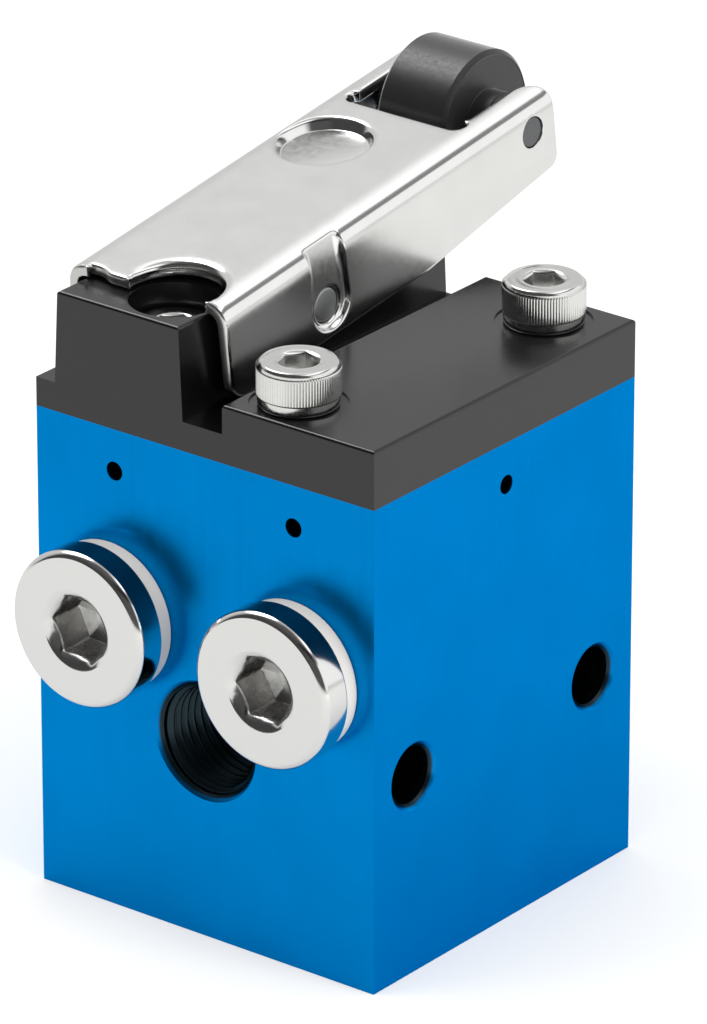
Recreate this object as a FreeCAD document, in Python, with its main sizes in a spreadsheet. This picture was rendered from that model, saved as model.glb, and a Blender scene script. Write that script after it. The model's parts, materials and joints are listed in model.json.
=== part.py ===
import FreeCAD
import Part
import Sketcher
import math
import os
from types import SimpleNamespace

# A small pilot-operated 3/2 poppet valve worked by a roller lever. Millimetres.
# The origin is the middle of the bottom face, the ports face -Y and +Y, the lever
# pivots on an axis along X and carries its roller behind the body, over +Y.

SIZES = {
    # aluminium block
    "body_side": 35.0,
    "body_height": 43.1,
    # G 1/8 ports, drawn at the thread's outer diameter
    "port_radius": 4.864,
    "port_depth": 8.0,
    "port_drill_radius": 3.0,
    "mouth_chamfer": 0.45,
    "outlet_height": 17.75,
    "exhaust_height": 26.5,
    "supply_height": 10.0,
    "plug_spacing": 19.25,
    "plug_shift": -0.3,
    "side_drill_depth": 17.5,
    # M6 tapped holes in the right side
    "mount_spacing": 24.4,
    "mount_height": 17.75,
    "mount_radius": 2.55,
    "mount_depth": 10.0,
    # breather holes of the diaphragm chamber
    "vent_radius": 0.825,
    "vent_height": 39.4,
    "vent_spacing": 18.6,
    # stepped bore of the main valve, from the bottom up
    "end_bore_radius": 7.5,
    "end_bore_depth": 6.0,
    "supply_chamber_radius": 6.5,
    "lower_seat_height": 13.4,
    "outlet_chamber_radius": 6.0,
    "upper_seat_height": 23.0,
    "seat_radius": 4.0,
    "seat_thickness": 1.0,
    "exhaust_chamber_radius": 8.0,
    "bush_bore_radius": 8.5,
    "bush_length": 6.1,
    "chamber_radius": 11.0,
    "chamber_depth": 5.5,
    "diaphragm_radius": 12.4,
    "diaphragm_thickness": 1.2,
    # fits
    "fit_gap": 0.05,
    "running_gap": 0.05,
    "seal_gap": 0.025,
    "seal_section": 1.0,
    "groove_width": 1.3,
    # main spindle
    "spindle_radius": 2.0,
    "spindle_stroke": 1.8,
    "spindle_tail": 6.5,
    "tail_gap": 0.5,
    "poppet_radius": 5.4,
    "poppet_thickness": 1.4,
    "poppet_seal_radius": 5.2,
    "poppet_seal_thickness": 0.8,
    "poppet_fit": 0.02,
    "plate_radius": 9.0,
    "plate_thickness": 1.55,
    "plate_drop": 0.15,
    "spigot_radius": 1.2,
    "return_spring_radius": 3.6,
    "return_spring_wire": 0.8,
    "return_spring_turns": 4.0,
    "spring_gap": 0.05,
    "spring_pocket_radius": 4.5,
    "spring_pocket_depth": 3.0,
    "spanner_hole_radius": 0.9,
    "spanner_hole_spacing": 11.0,
    "spanner_hole_depth": 1.6,
    # black housing
    "base_thickness": 2.55,
    "plate_rise": 5.1,
    "plate_edge": 2.0,
    "tower_height": 10.7,
    "tower_left": -15.5,
    "tower_right": -2.1,
    "tower_draft": 0.38,
    "housing_round": 0.3,
    "dome_radius": 11.2,
    "dome_depth": 0.9,
    # M4 socket head cap screws
    "front_screw_x": 6.45,
    "front_screw_y": -13.15,
    "rear_screw_x": 11.6,
    "rear_screw_y": 12.8,
    "screw_radius": 1.75,
    "screw_clearance_radius": 2.2,
    "screw_length": 12.0,
    "screw_head_radius": 3.5,
    "screw_head_height": 3.85,
    "screw_head_chamfer": 0.4,
    "screw_socket": 3.0,
    "screw_socket_depth": 2.2,
    "counterbore_radius": 3.75,
    "spot_face_radius": 4.1,
    "spot_face_depth": 0.15,
    "tap_extra_depth": 0.6,
    # blanking plugs with flat seals
    "seal_washer_radius": 6.5,
    "seal_washer_thickness": 1.6,
    "plug_head_radius": 6.85,
    "plug_head_height": 2.9,
    "plug_head_chamfer": 0.55,
    "plug_thread_length": 5.5,
    "plug_socket": 5.0,
    "plug_socket_depth": 3.8,
    "plug_socket_mouth": 3.4,
    "plug_mouth_depth": 0.6,
    # lever, in its own frame: origin on the pivot, y along the web, z square to it
    "lever_x": -8.75,
    "pivot_height": 50.45,
    "lever_tilt": 7.5,
    "lever_width": 16.6,
    "lever_sheet": 1.0,
    "lever_bend_radius": 2.0,
    "punch_depth": 1.5,
    "lever_front": 13.35,
    "lever_rear": 31.1,
    "web_height": 6.25,
    "flange_drop": 2.8,
    "flange_taper_start": 12.9,
    "flange_rear_drop": 1.1,
    "flange_front_round": 2.0,
    "flange_rear_round": 1.2,
    "notch_radius": 4.1,
    "front_relief_width": 2.7,
    "front_relief_depth": 0.6,
    "front_relief_lead": 0.4,
    "arm_round": 3.0,
    "slot_side_gap": 1.95,
    "slot_front_gap": 1.32,
    "slot_relief_radius": 0.95,
    "dimple_radius": 4.0,
    "dimple_depth": 0.95,
    "dimple_floor": 0.9,
    "dimple_wall": 0.8,
    "press_round": 0.3,
    "pad_depth": 0.55,
    "pad_width": 4.8,
    "pad_drop": 2.0,
    "pad_rim": 0.6,
    "pivot_pin_radius": 1.5,
    "pin_recess": 0.1,
    # roller
    "roller_rear_margin": 3.18,
    "roller_z": 3.3,
    "roller_radius": 6.0,
    "roller_width": 7.2,
    "roller_shift": -0.25,
    "roller_rim": 0.75,
    "roller_dish": 0.35,
    "roller_hub_radius": 2.7,
    "roller_hub_gap": 0.35,
    "roller_round": 0.25,
    "roller_pin_radius": 1.35,
    # pilot valve under the lever's dimple
    "pilot_reach": 17.4,
    "pilot_angle": 131.2,
    "pilot_bore_radius": 3.3,
    "pilot_seat_length": 5.1,
    "pilot_seat_drop": 0.1,
    "pilot_hole_radius": 1.2,
    "pilot_mouth_radius": 1.8,
    "pilot_mouth_depth": 2.0,
    "pilot_chamber_radius": 2.2,
    "pilot_chamber_floor": 30.0,
    "pilot_passage_radius": 0.75,
    "pilot_passage_slope": 41.0,
    "pilot_ball_radius": 1.6,
    "pilot_spring_radius": 1.1,
    "pilot_spring_wire": 0.4,
    "pilot_spring_turns": 4.0,
    "plunger_radius": 2.0,
    "plunger_collar_radius": 2.8,
    "plunger_collar_thickness": 1.4,
    "plunger_stem_radius": 1.2,
    "plunger_tip_radius": 0.8,
    "plunger_tip_length": 5.1,
    "plunger_dome": 1.4,
    "plunger_gap": 0.15,
    "plunger_guide_length": 2.4,
    "plunger_chamber_radius": 3.0,
    "plunger_spring_radius": 2.1,
    "plunger_spring_wire": 0.6,
    "plunger_spring_turns": 4.5,
    "air_slot_width": 1.2,
    "air_slot_depth": 0.6,
}

ROOT_THREE = math.sqrt(3.0)
THROUGH = 100.0
SAME_PLACE = 1e-4
LEAST_CUT = 1e-3


class Size:
    """A value together with the sheet expression that gives it."""

    def __init__(self, value, text):
        self.value = float(value)
        self.text = text

    def combine(self, other, sign, value):
        other = as_size(other)
        return Size(value(self.value, other.value), f"({self.text} {sign} {other.text})")

    def __add__(self, other):
        return self.combine(other, "+", lambda a, b: a + b)

    def __radd__(self, other):
        return as_size(other) + self

    def __sub__(self, other):
        return self.combine(other, "-", lambda a, b: a - b)

    def __rsub__(self, other):
        return as_size(other) - self

    def __mul__(self, other):
        return self.combine(other, "*", lambda a, b: a * b)

    def __rmul__(self, other):
        return as_size(other) * self

    def __truediv__(self, other):
        return self.combine(other, "/", lambda a, b: a / b)

    def __rtruediv__(self, other):
        return as_size(other) / self

    def __neg__(self):
        return Size(-self.value, f"(-{self.text})")


def as_size(number):
    """A plain number as a Size, so that both can be used side by side."""
    if isinstance(number, Size):
        return number
    return Size(number, f"({float(number)!r})")


def cosine(angle):
    """Cosine of an angle in degrees."""
    return Size(math.cos(math.radians(angle.value)), f"cos({angle.text})")


def sine(angle):
    """Sine of an angle in degrees."""
    return Size(math.sin(math.radians(angle.value)), f"sin({angle.text})")


def root(square):
    """Square root."""
    return Size(math.sqrt(square.value), f"sqrt({square.text})")


def bind(thing, path, size):
    """Drive one property of a document object from the sheet."""
    thing.setExpression(path, as_size(size).text)


doc = FreeCAD.newDocument("RollerLeverValve")
sheet = doc.addObject("Spreadsheet::Sheet", "Sizes")
for row, (alias, number) in enumerate(SIZES.items(), start=1):
    sheet.set(f"A{row}", alias)
    sheet.set(f"B{row}", str(number))
    sheet.setAlias(f"B{row}", alias)
doc.recompute()
dim = SimpleNamespace(**{name: Size(number, "Sizes." + name) for name, number in SIZES.items()})
pieces = []


def new_body(label, placed=True):
    """An empty PartDesign body, written to a file of its own unless it is only a copy's source."""
    body = doc.addObject("PartDesign::Body", label)
    body.Label = label
    if placed:
        pieces.append(body)
    return body


def put(body, x=0, y=0, z=0, axis=None, angle=0):
    """Place a finished piece in the valve's frame."""
    turn = FreeCAD.Rotation(FreeCAD.Vector(*(axis or (0, 0, 1))), as_size(angle).value)
    place = FreeCAD.Vector(*(as_size(v).value for v in (x, y, z)))
    body.Placement = FreeCAD.Placement(place, turn)
    for name, value in (("x", x), ("y", y), ("z", z)):
        bind(body, f"Placement.Base.{name}", value)
    if isinstance(angle, Size):
        bind(body, "Placement.Rotation.Angle", angle)
    return body


def sketch_on(body, role, offset=0):
    """A sketch on one of the body's own origin planes, moved along the plane's normal."""
    sketch = body.newObject("Sketcher::SketchObject", "Sketch")
    plane = next(item for item in body.Origin.OriginFeatures if item.Role == role)
    sketch.AttachmentSupport = [(plane, "")]
    sketch.MapMode = "FlatFace"
    bind(sketch, "AttachmentOffset.Base.z", offset)
    return sketch


def fix_point(sketch, geometry, point, x, y):
    """Hold one point of the sketch at sheet-driven distances from the origin."""
    for kind, size in (("DistanceX", as_size(x)), ("DistanceY", as_size(y))):
        index = sketch.addConstraint(Sketcher.Constraint(kind, -1, 1, geometry, point, size.value))
        bind(sketch, f"Constraints[{index}]", size)


def add_circle(sketch, x, y, radius):
    """A circle with its centre and radius driven by the sheet."""
    x, y, radius = as_size(x), as_size(y), as_size(radius)
    circle = Part.Circle(FreeCAD.Vector(x.value, y.value, 0), FreeCAD.Vector(0, 0, 1), radius.value)
    index = sketch.addGeometry(circle)
    fix_point(sketch, index, 3, x, y)
    constraint = sketch.addConstraint(Sketcher.Constraint("Radius", index, radius.value))
    bind(sketch, f"Constraints[{constraint}]", radius)


def add_outline(sketch, corners, centre=None):
    """A closed outline of straight lines through the corners, each driven by the sheet. With a centre, the side
    from the last corner back to the first is an arc round it, anticlockwise."""
    corners = [(as_size(x), as_size(y)) for x, y in corners]
    points = [FreeCAD.Vector(x.value, y.value, 0) for x, y in corners]
    count = len(points)
    first = sketch.GeometryCount
    for index in range(count - 1):
        sketch.addGeometry(Part.LineSegment(points[index], points[index + 1]))
    if centre is None:
        sketch.addGeometry(Part.LineSegment(points[-1], points[0]))
    else:
        x, y = (as_size(value) for value in centre)
        middle = FreeCAD.Vector(x.value, y.value, 0)
        circle = Part.Circle(middle, FreeCAD.Vector(0, 0, 1), (points[0] - middle).Length)
        closing = sketch.addGeometry(Part.ArcOfCircle(circle, circle.parameter(points[-1]), circle.parameter(points[0])))
        index = sketch.addConstraint(Sketcher.Constraint("DistanceY", -1, 1, closing, 3, y.value))
        bind(sketch, f"Constraints[{index}]", y)
    for index in range(count):
        after = first + (index + 1) % count
        sketch.addConstraint(Sketcher.Constraint("Coincident", first + index, 2, after, 1))
    for index, (x, y) in enumerate(corners):
        fix_point(sketch, first + index, 1, x, y)


def add_rectangle(sketch, low_x, high_x, low_y, high_y):
    """A rectangle between two corners."""
    add_outline(sketch, [(low_x, low_y), (high_x, low_y), (high_x, high_y), (low_x, high_y)])


def feature(body, kind, sketch, **settings):
    """A sketch-based PartDesign feature with its options."""
    made = body.newObject("PartDesign::" + kind, kind)
    made.Profile = sketch
    for name, value in settings.items():
        if isinstance(value, Size):
            bind(made, name, value)
        else:
            setattr(made, name, value)
    sketch.Visibility = False
    return made


def pad(body, sketch, length, **settings):
    """Material from the sketch along its normal."""
    return feature(body, "Pad", sketch, Length=as_size(length), **settings)


def pocket(body, sketch, depth, **settings):
    """A cut from the sketch against its normal."""
    return feature(body, "Pocket", sketch, Length=as_size(depth), **settings)


def turned(body, profile, kind="Revolution"):
    """A profile of radius and height turned about the body's Z axis."""
    sketch = sketch_on(body, "XZ_Plane")
    add_outline(sketch, profile)
    return feature(body, kind, sketch, ReferenceAxis=(sketch, ["V_Axis"]), Angle=360.0)


def drill(body, role, x, y, radius, start, depth, **settings):
    """A round blind hole from a plane parallel to an origin plane."""
    sketch = sketch_on(body, role, start)
    add_circle(sketch, x, y, radius)
    return pocket(body, sketch, depth, **settings)


def edges_where(body, test):
    """Names of the edges of the body's newest shape that pass the test."""
    doc.recompute()
    edges = body.Tip.Shape.Edges
    return [f"Edge{number}" for number, edge in enumerate(edges, start=1) if test(edge)]


def dress(body, kind, size, test):
    """A fillet or chamfer of one size on the edges that pass the test."""
    names = edges_where(body, test)
    if not names:
        raise ValueError(f"{body.Label} has no edge for this {kind}")
    base = body.Tip
    made = body.newObject("PartDesign::" + kind, kind)
    made.Base = (base, names)
    bind(made, "Radius" if kind == "Fillet" else "Size", size)
    doc.recompute()
    return made


def is_circle(edge, radius, **where):
    """True for a full circle of this radius whose centre lies at the given coordinates."""
    curve = edge.Curve
    if curve.TypeId != "Part::GeomCircle" or abs(curve.Radius - radius.value) > SAME_PLACE:
        return False
    return all(abs(getattr(curve.Center, axis) - as_size(at).value) < SAME_PLACE for axis, at in where.items())


def hexagon(width):
    """Corners of a hexagon of this width across its flats."""
    half = width / 2
    corner = width / ROOT_THREE
    return [(half, corner / 2), (0, corner), (-half, corner / 2), (-half, -corner / 2), (0, -corner), (half, -corner / 2)]


# Heights and places that several pieces share.
housing_floor = dim.body_height
screw_seat = dim.body_height + dim.plate_rise - dim.spot_face_depth
diaphragm_floor = dim.body_height - dim.diaphragm_thickness
chamber_floor = dim.body_height - dim.chamber_depth
bush_floor = chamber_floor - dim.bush_length
tower_top = dim.body_height + dim.tower_height
half_side = dim.body_side / 2
pilot_x = dim.pilot_reach * cosine(dim.pilot_angle)
pilot_y = dim.pilot_reach * sine(dim.pilot_angle)
pilot_seat_top = dim.body_height - dim.pilot_seat_drop
pilot_seat_base = pilot_seat_top - dim.pilot_seat_length
plunger_shoulder = tower_top - dim.plunger_guide_length
plunger_collar_top = plunger_shoulder - 2 * dim.fit_gap
ball_rise = root(dim.pilot_ball_radius * dim.pilot_ball_radius - dim.pilot_hole_radius * dim.pilot_hole_radius)
ball_height = pilot_seat_base - ball_rise - dim.fit_gap
dimple_underside = dim.web_height - dim.dimple_depth - dim.dimple_floor
lever_half = dim.lever_width / 2
lever_inner = lever_half - dim.lever_sheet
roller_along = dim.lever_rear - dim.roller_rear_margin
slot_half = dim.roller_width / 2 + dim.slot_side_gap
slot_start = roller_along - dim.roller_radius - dim.slot_front_gap
seal_radius = dim.seal_section / 2


def along_lever(y, height):
    """Distance along the web of the point that stands at this y and height off the pivot line."""
    return (y + height * sine(dim.lever_tilt)) / cosine(dim.lever_tilt)


def add_groove(body, inner, outer, middle):
    """A rectangular ring groove between two radii, centred on a height."""
    half = dim.groove_width / 2
    turned(body, [(inner, middle - half), (outer, middle - half), (outer, middle + half), (inner, middle + half)], "Groove")


def make_valve_body():
    """Anodised block: stepped valve bore, ports, tapped holes, vents and pilot drillings."""
    body = new_body("valve_body")
    sketch = sketch_on(body, "XY_Plane")
    add_rectangle(sketch, -half_side, half_side, -half_side, half_side)
    pad(body, sketch, dim.body_height)
    lower_seat_top = dim.lower_seat_height + dim.seat_thickness
    upper_seat_base = dim.upper_seat_height - dim.seat_thickness
    turned(body, [
        (0, 0),
        (dim.end_bore_radius, 0),
        (dim.end_bore_radius, dim.end_bore_depth),
        (dim.supply_chamber_radius, dim.end_bore_depth),
        (dim.supply_chamber_radius, dim.lower_seat_height),
        (dim.seat_radius, dim.lower_seat_height),
        (dim.seat_radius, lower_seat_top),
        (dim.outlet_chamber_radius, lower_seat_top),
        (dim.outlet_chamber_radius, upper_seat_base),
        (dim.seat_radius, upper_seat_base),
        (dim.seat_radius, dim.upper_seat_height),
        (dim.exhaust_chamber_radius, dim.upper_seat_height),
        (dim.exhaust_chamber_radius, bush_floor),
        (dim.bush_bore_radius, bush_floor),
        (dim.bush_bore_radius, chamber_floor),
        (dim.chamber_radius, chamber_floor),
        (dim.chamber_radius, diaphragm_floor),
        (dim.diaphragm_radius, diaphragm_floor),
        (dim.diaphragm_radius, dim.body_height),
        (0, dim.body_height),
    ], "Groove")
    # front face: outlet in the middle, two plugged exhaust ports above it
    drill(body, "XZ_Plane", 0, dim.outlet_height, dim.port_radius, half_side, dim.port_depth)
    drill(body, "XZ_Plane", 0, dim.outlet_height, dim.port_drill_radius, half_side, half_side)
    for side in (-1, 1):
        plug_x = plug_place(side)
        drill(body, "XZ_Plane", plug_x, dim.exhaust_height, dim.port_radius, half_side, dim.port_depth)
        drill(body, "XZ_Plane", plug_x, dim.exhaust_height, dim.port_drill_radius, half_side, dim.side_drill_depth)
    # rear face: supply below, exhaust above
    for height in (dim.supply_height, dim.exhaust_height):
        drill(body, "XZ_Plane", 0, height, dim.port_radius, -half_side, dim.port_depth, Reversed=True)
        drill(body, "XZ_Plane", 0, height, dim.port_drill_radius, -half_side, half_side, Reversed=True)
    # right side: tapped holes and a vent
    for side in (-1, 1):
        drill(body, "YZ_Plane", side * dim.mount_spacing / 2, dim.mount_height, dim.mount_radius, half_side,
              dim.mount_depth)
        drill(body, "XZ_Plane", side * dim.vent_spacing / 2, dim.vent_height, dim.vent_radius, half_side, half_side)
    drill(body, "YZ_Plane", 0, dim.vent_height, dim.vent_radius, half_side, half_side)
    # screw holes from the top
    screw_depth = dim.body_height - screw_seat + dim.screw_length + dim.tap_extra_depth
    for x, y in screw_places():
        drill(body, "XY_Plane", x, y, dim.screw_radius + dim.fit_gap / 2, dim.body_height, screw_depth)
    # pilot valve: seat bore, ball chamber, and the drilling up from the supply port
    drill(body, "XY_Plane", pilot_x, pilot_y, dim.pilot_bore_radius, dim.body_height,
          dim.body_height - pilot_seat_base)
    drill(body, "XY_Plane", pilot_x, pilot_y, dim.pilot_chamber_radius, dim.body_height,
          dim.body_height - dim.pilot_chamber_floor)
    passage_reach = dim.pilot_reach - dim.supply_chamber_radius
    passage_top = dim.supply_height + passage_reach * sine(dim.pilot_passage_slope) / cosine(dim.pilot_passage_slope)
    drill(body, "XY_Plane", pilot_x, pilot_y, dim.pilot_passage_radius, dim.body_height,
          dim.body_height - passage_top)
    # a sloping drilling, made through the bottom bore, joins that passage to the supply chamber
    sloping = sketch_on(body, "XY_Plane")
    for path, value in (
        ("Base.x", pilot_x),
        ("Base.y", pilot_y),
        ("Base.z", passage_top),
        ("Rotation.Yaw", dim.pilot_angle),
        ("Rotation.Pitch", 90 - dim.pilot_passage_slope),
    ):
        bind(sloping, "AttachmentOffset." + path, value)
    add_circle(sloping, 0, 0, dim.pilot_passage_radius)
    pocket(body, sloping, (passage_reach + dim.pilot_passage_radius) / cosine(dim.pilot_passage_slope))

    def is_mouth(edge):
        on_front = is_circle(edge, dim.port_radius, y=-half_side)
        on_rear = is_circle(edge, dim.port_radius, y=half_side)
        return on_front or on_rear or is_circle(edge, dim.mount_radius, x=half_side)

    dress(body, "Chamfer", dim.mouth_chamfer, is_mouth)


def plug_place(side):
    """How far across the plug on one side sits."""
    return side * dim.plug_spacing / 2 + dim.plug_shift


def screw_places():
    """Centres of the three screws that hold the housing down."""
    return [
        (-dim.front_screw_x, dim.front_screw_y),
        (dim.front_screw_x, dim.front_screw_y),
        (dim.rear_screw_x, dim.rear_screw_y),
    ]


def make_housing():
    """Black moulding: base plate, raised plate and the drafted tower that carries the lever."""
    body = new_body("actuator_housing")
    ledge = dim.body_height + dim.base_thickness
    plate_top = dim.body_height + dim.plate_rise
    sketch = sketch_on(body, "XZ_Plane", -half_side)
    add_outline(sketch, [
        (-half_side, housing_floor),
        (half_side, housing_floor),
        (half_side, plate_top),
        (dim.plate_edge, plate_top),
        (dim.plate_edge, ledge),
        (dim.tower_right, ledge),
        (dim.tower_right - dim.tower_draft, tower_top),
        (dim.tower_left + dim.tower_draft, tower_top),
        (dim.tower_left, ledge),
        (-half_side, ledge),
    ])
    pad(body, sketch, dim.body_side)

    def is_top_edge(edge):
        box = edge.BoundBox
        flat = box.ZMax - box.ZMin < SAME_PLACE
        return flat and min(abs(box.ZMin - tower_top.value), abs(box.ZMin - plate_top.value)) < SAME_PLACE

    dress(body, "Fillet", dim.housing_round, is_top_edge)
    for x, y in screw_places():
        drill(body, "XY_Plane", x, y, dim.screw_clearance_radius, tower_top, dim.tower_height)
        drill(body, "XY_Plane", x, y, dim.spot_face_radius if x.value > 0 else dim.counterbore_radius, tower_top,
              tower_top - screw_seat)
    # the pivot pin's bore, and under the tower top the plunger's guide and spring chamber
    drill(body, "YZ_Plane", 0, dim.pivot_height, dim.pivot_pin_radius + dim.fit_gap / 2, 0, half_side)
    drill(body, "XY_Plane", pilot_x, pilot_y, dim.plunger_radius + dim.running_gap, tower_top, dim.tower_height)
    drill(body, "XY_Plane", pilot_x, pilot_y, dim.plunger_chamber_radius, plunger_shoulder,
          plunger_shoulder - housing_floor)
    groove_radius = dim.plunger_radius + dim.seal_section + dim.running_gap
    drill(body, "XY_Plane", pilot_x, pilot_y, groove_radius,
          tower_top - (dim.plunger_guide_length - dim.groove_width) / 2, dim.groove_width)
    # air space over the diaphragm and the slot that feeds it from the pilot
    drill(body, "XY_Plane", 0, 0, dim.dome_radius, housing_floor + dim.dome_depth, dim.dome_depth)
    along, across = cosine(dim.pilot_angle), sine(dim.pilot_angle)
    half_slot = dim.air_slot_width / 2
    near, far = dim.dome_radius - dim.air_slot_width, dim.pilot_reach
    slot = sketch_on(body, "XY_Plane", housing_floor + dim.air_slot_depth)
    add_outline(slot, [
        (near * along + half_slot * across, near * across - half_slot * along),
        (far * along + half_slot * across, far * across - half_slot * along),
        (far * along - half_slot * across, far * across + half_slot * along),
        (near * along - half_slot * across, near * across + half_slot * along),
    ])
    pocket(body, slot, dim.air_slot_depth)


def make_cap_screws():
    """Three socket head cap screws in one group."""
    copies = []
    for number, (x, y) in enumerate(screw_places(), start=1):
        body = new_body(f"screw_{number}", placed=False)
        turned(body, [
            (0, -dim.screw_length),
            (dim.screw_radius, -dim.screw_length),
            (dim.screw_radius, 0),
            (dim.screw_head_radius, 0),
            (dim.screw_head_radius, dim.screw_head_height - dim.screw_head_chamfer),
            (dim.screw_head_radius - dim.screw_head_chamfer, dim.screw_head_height),
            (0, dim.screw_head_height),
        ])
        socket = sketch_on(body, "XY_Plane", dim.screw_head_height)
        add_outline(socket, hexagon(dim.screw_socket))
        pocket(body, socket, dim.screw_socket_depth)
        put(body, x, y, screw_seat)
        copies.append(body)
    group = doc.addObject("Part::Compound", "cap_screws")
    group.Label = "cap_screws"
    group.Links = copies
    pieces.append(group)


def make_plug(side, name):
    """Hexagon socket blanking plug and the flat seal under its head."""
    seal = new_body(f"plug_seal_{name}")
    inner = dim.port_radius + dim.fit_gap
    turned(seal, [
        (inner, 0),
        (dim.seal_washer_radius, 0),
        (dim.seal_washer_radius, dim.seal_washer_thickness),
        (inner, dim.seal_washer_thickness),
    ])
    plug_x = plug_place(side)
    put(seal, plug_x, -half_side, dim.exhaust_height, (1, 0, 0), 90)
    plug = new_body(f"blanking_plug_{name}")
    under_head = dim.seal_washer_thickness
    front = under_head + dim.plug_head_height
    shank = dim.port_radius - dim.fit_gap
    turned(plug, [
        (0, -dim.plug_thread_length),
        (shank, -dim.plug_thread_length),
        (shank, under_head),
        (dim.plug_head_radius, under_head),
        (dim.plug_head_radius, front - dim.plug_head_chamfer),
        (dim.plug_head_radius - dim.plug_head_chamfer, front),
        (dim.plug_socket_mouth, front),
        (dim.plug_socket / 2, front - dim.plug_mouth_depth),
        (0, front - dim.plug_mouth_depth),
    ])
    socket = sketch_on(plug, "XY_Plane", front)
    add_outline(socket, hexagon(dim.plug_socket))
    pocket(plug, socket, dim.plug_socket_depth)
    put(plug, plug_x, -half_side, dim.exhaust_height, (1, 0, 0), 90)


def make_seal_ring(name, mean_radius, height, x=0, y=0):
    """O-ring of the common section, lying level."""
    ring = doc.addObject("Part::Torus", name)
    ring.Label = name
    bind(ring, "Radius1", mean_radius)
    bind(ring, "Radius2", seal_radius)
    pieces.append(ring)
    put(ring, x, y, height)


def make_spring(name, mean_radius, wire, turns, low, high, x=0, y=0):
    """Round-wire compression spring standing between two heights."""
    body = new_body(name)
    section = sketch_on(body, "XZ_Plane")
    add_circle(section, mean_radius, wire / 2, wire / 2)
    coil = body.newObject("PartDesign::AdditiveHelix", "Coil")
    coil.Profile = section
    coil.ReferenceAxis = (section, ["V_Axis"])
    coil.Mode = "height-turns-angle"
    bind(coil, "Height", high - low - wire)
    bind(coil, "Turns", turns)
    section.Visibility = False
    put(body, x, y, low)


def make_end_plug():
    """Screwed bottom plug with its seal groove, spring pocket and the spindle tail's bore."""
    plug = new_body("end_plug")
    outside = dim.end_bore_radius - dim.fit_gap
    pocket_floor = dim.end_bore_depth - dim.spring_pocket_depth
    tail_end = dim.lower_seat_height - dim.fit_gap - dim.poppet_seal_thickness - dim.poppet_thickness - dim.spindle_tail
    tail_floor = tail_end - dim.spindle_stroke - dim.tail_gap
    turned(plug, [
        (0, 0),
        (outside, 0),
        (outside, dim.end_bore_depth),
        (dim.spring_pocket_radius, dim.end_bore_depth),
        (dim.spring_pocket_radius, pocket_floor),
        (dim.spindle_radius + dim.running_gap, pocket_floor),
        (dim.spindle_radius + dim.running_gap, tail_floor),
        (0, tail_floor),
    ])
    middle = dim.end_bore_depth - dim.groove_width
    add_groove(plug, dim.end_bore_radius - dim.seal_section - dim.fit_gap, outside + dim.fit_gap, middle)
    for side in (-1, 1):
        drill(plug, "XY_Plane", side * dim.spanner_hole_spacing / 2, 0, dim.spanner_hole_radius, 0,
              dim.spanner_hole_depth, Reversed=True)
    make_seal_ring("end_plug_oring", dim.end_bore_radius - seal_radius - dim.seal_gap, middle)
    make_spring("return_spring", dim.return_spring_radius, dim.return_spring_wire, dim.return_spring_turns,
                pocket_floor + dim.spring_gap,
                tail_end + dim.spindle_tail - dim.spring_gap)


def make_spindle():
    """Valve spindle, its two poppets with rubber faces, and the diaphragm plate on top."""
    lower_face = dim.lower_seat_height - dim.fit_gap
    lower_disc_top = lower_face - dim.poppet_seal_thickness
    lower_disc_base = lower_disc_top - dim.poppet_thickness
    upper_face = dim.upper_seat_height + dim.spindle_stroke + dim.fit_gap
    upper_disc_base = upper_face + dim.poppet_seal_thickness
    plate_top = diaphragm_floor - dim.plate_drop
    plate_base = plate_top - dim.plate_thickness
    spindle = new_body("valve_spindle")
    turned(spindle, [
        (0, lower_disc_base - dim.spindle_tail),
        (dim.spindle_radius, lower_disc_base - dim.spindle_tail),
        (dim.spindle_radius, plate_base),
        (dim.spigot_radius, plate_base),
        (dim.spigot_radius, plate_top),
        (0, plate_top),
    ])
    bore = dim.spindle_radius + dim.poppet_fit

    def ring(name, inner, outer, low, high):
        turned(new_body(name), [(inner, low), (outer, low), (outer, high), (inner, high)])

    ring("lower_poppet", bore, dim.poppet_radius, lower_disc_base, lower_disc_top)
    ring("lower_poppet_seal", bore, dim.poppet_seal_radius, lower_disc_top, lower_face)
    ring("upper_poppet_seal", bore, dim.poppet_seal_radius, upper_face, upper_disc_base)
    ring("upper_poppet", bore, dim.poppet_radius, upper_disc_base, upper_disc_base + dim.poppet_thickness)
    ring("diaphragm_plate", dim.spigot_radius + dim.poppet_fit, dim.plate_radius, plate_base, plate_top)


def make_guide_bush():
    """Brass bush that guides the spindle and parts the exhaust chamber from the diaphragm."""
    bush = new_body("guide_bush")
    outside = dim.bush_bore_radius - dim.fit_gap
    bore = dim.spindle_radius + dim.running_gap
    turned(bush, [(bore, bush_floor), (outside, bush_floor), (outside, chamber_floor), (bore, chamber_floor)])
    low_ring = bush_floor + dim.bush_length / 3
    high_ring = bush_floor + dim.bush_length * 2 / 3
    add_groove(bush, dim.bush_bore_radius - dim.seal_section - dim.fit_gap, outside + dim.fit_gap, low_ring)
    add_groove(bush, bore - dim.fit_gap, dim.spindle_radius + dim.seal_section + dim.fit_gap, high_ring)
    make_seal_ring("guide_bush_oring", dim.bush_bore_radius - seal_radius - dim.seal_gap, low_ring)
    make_seal_ring("spindle_oring", dim.spindle_radius + seal_radius + dim.seal_gap, high_ring)


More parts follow.
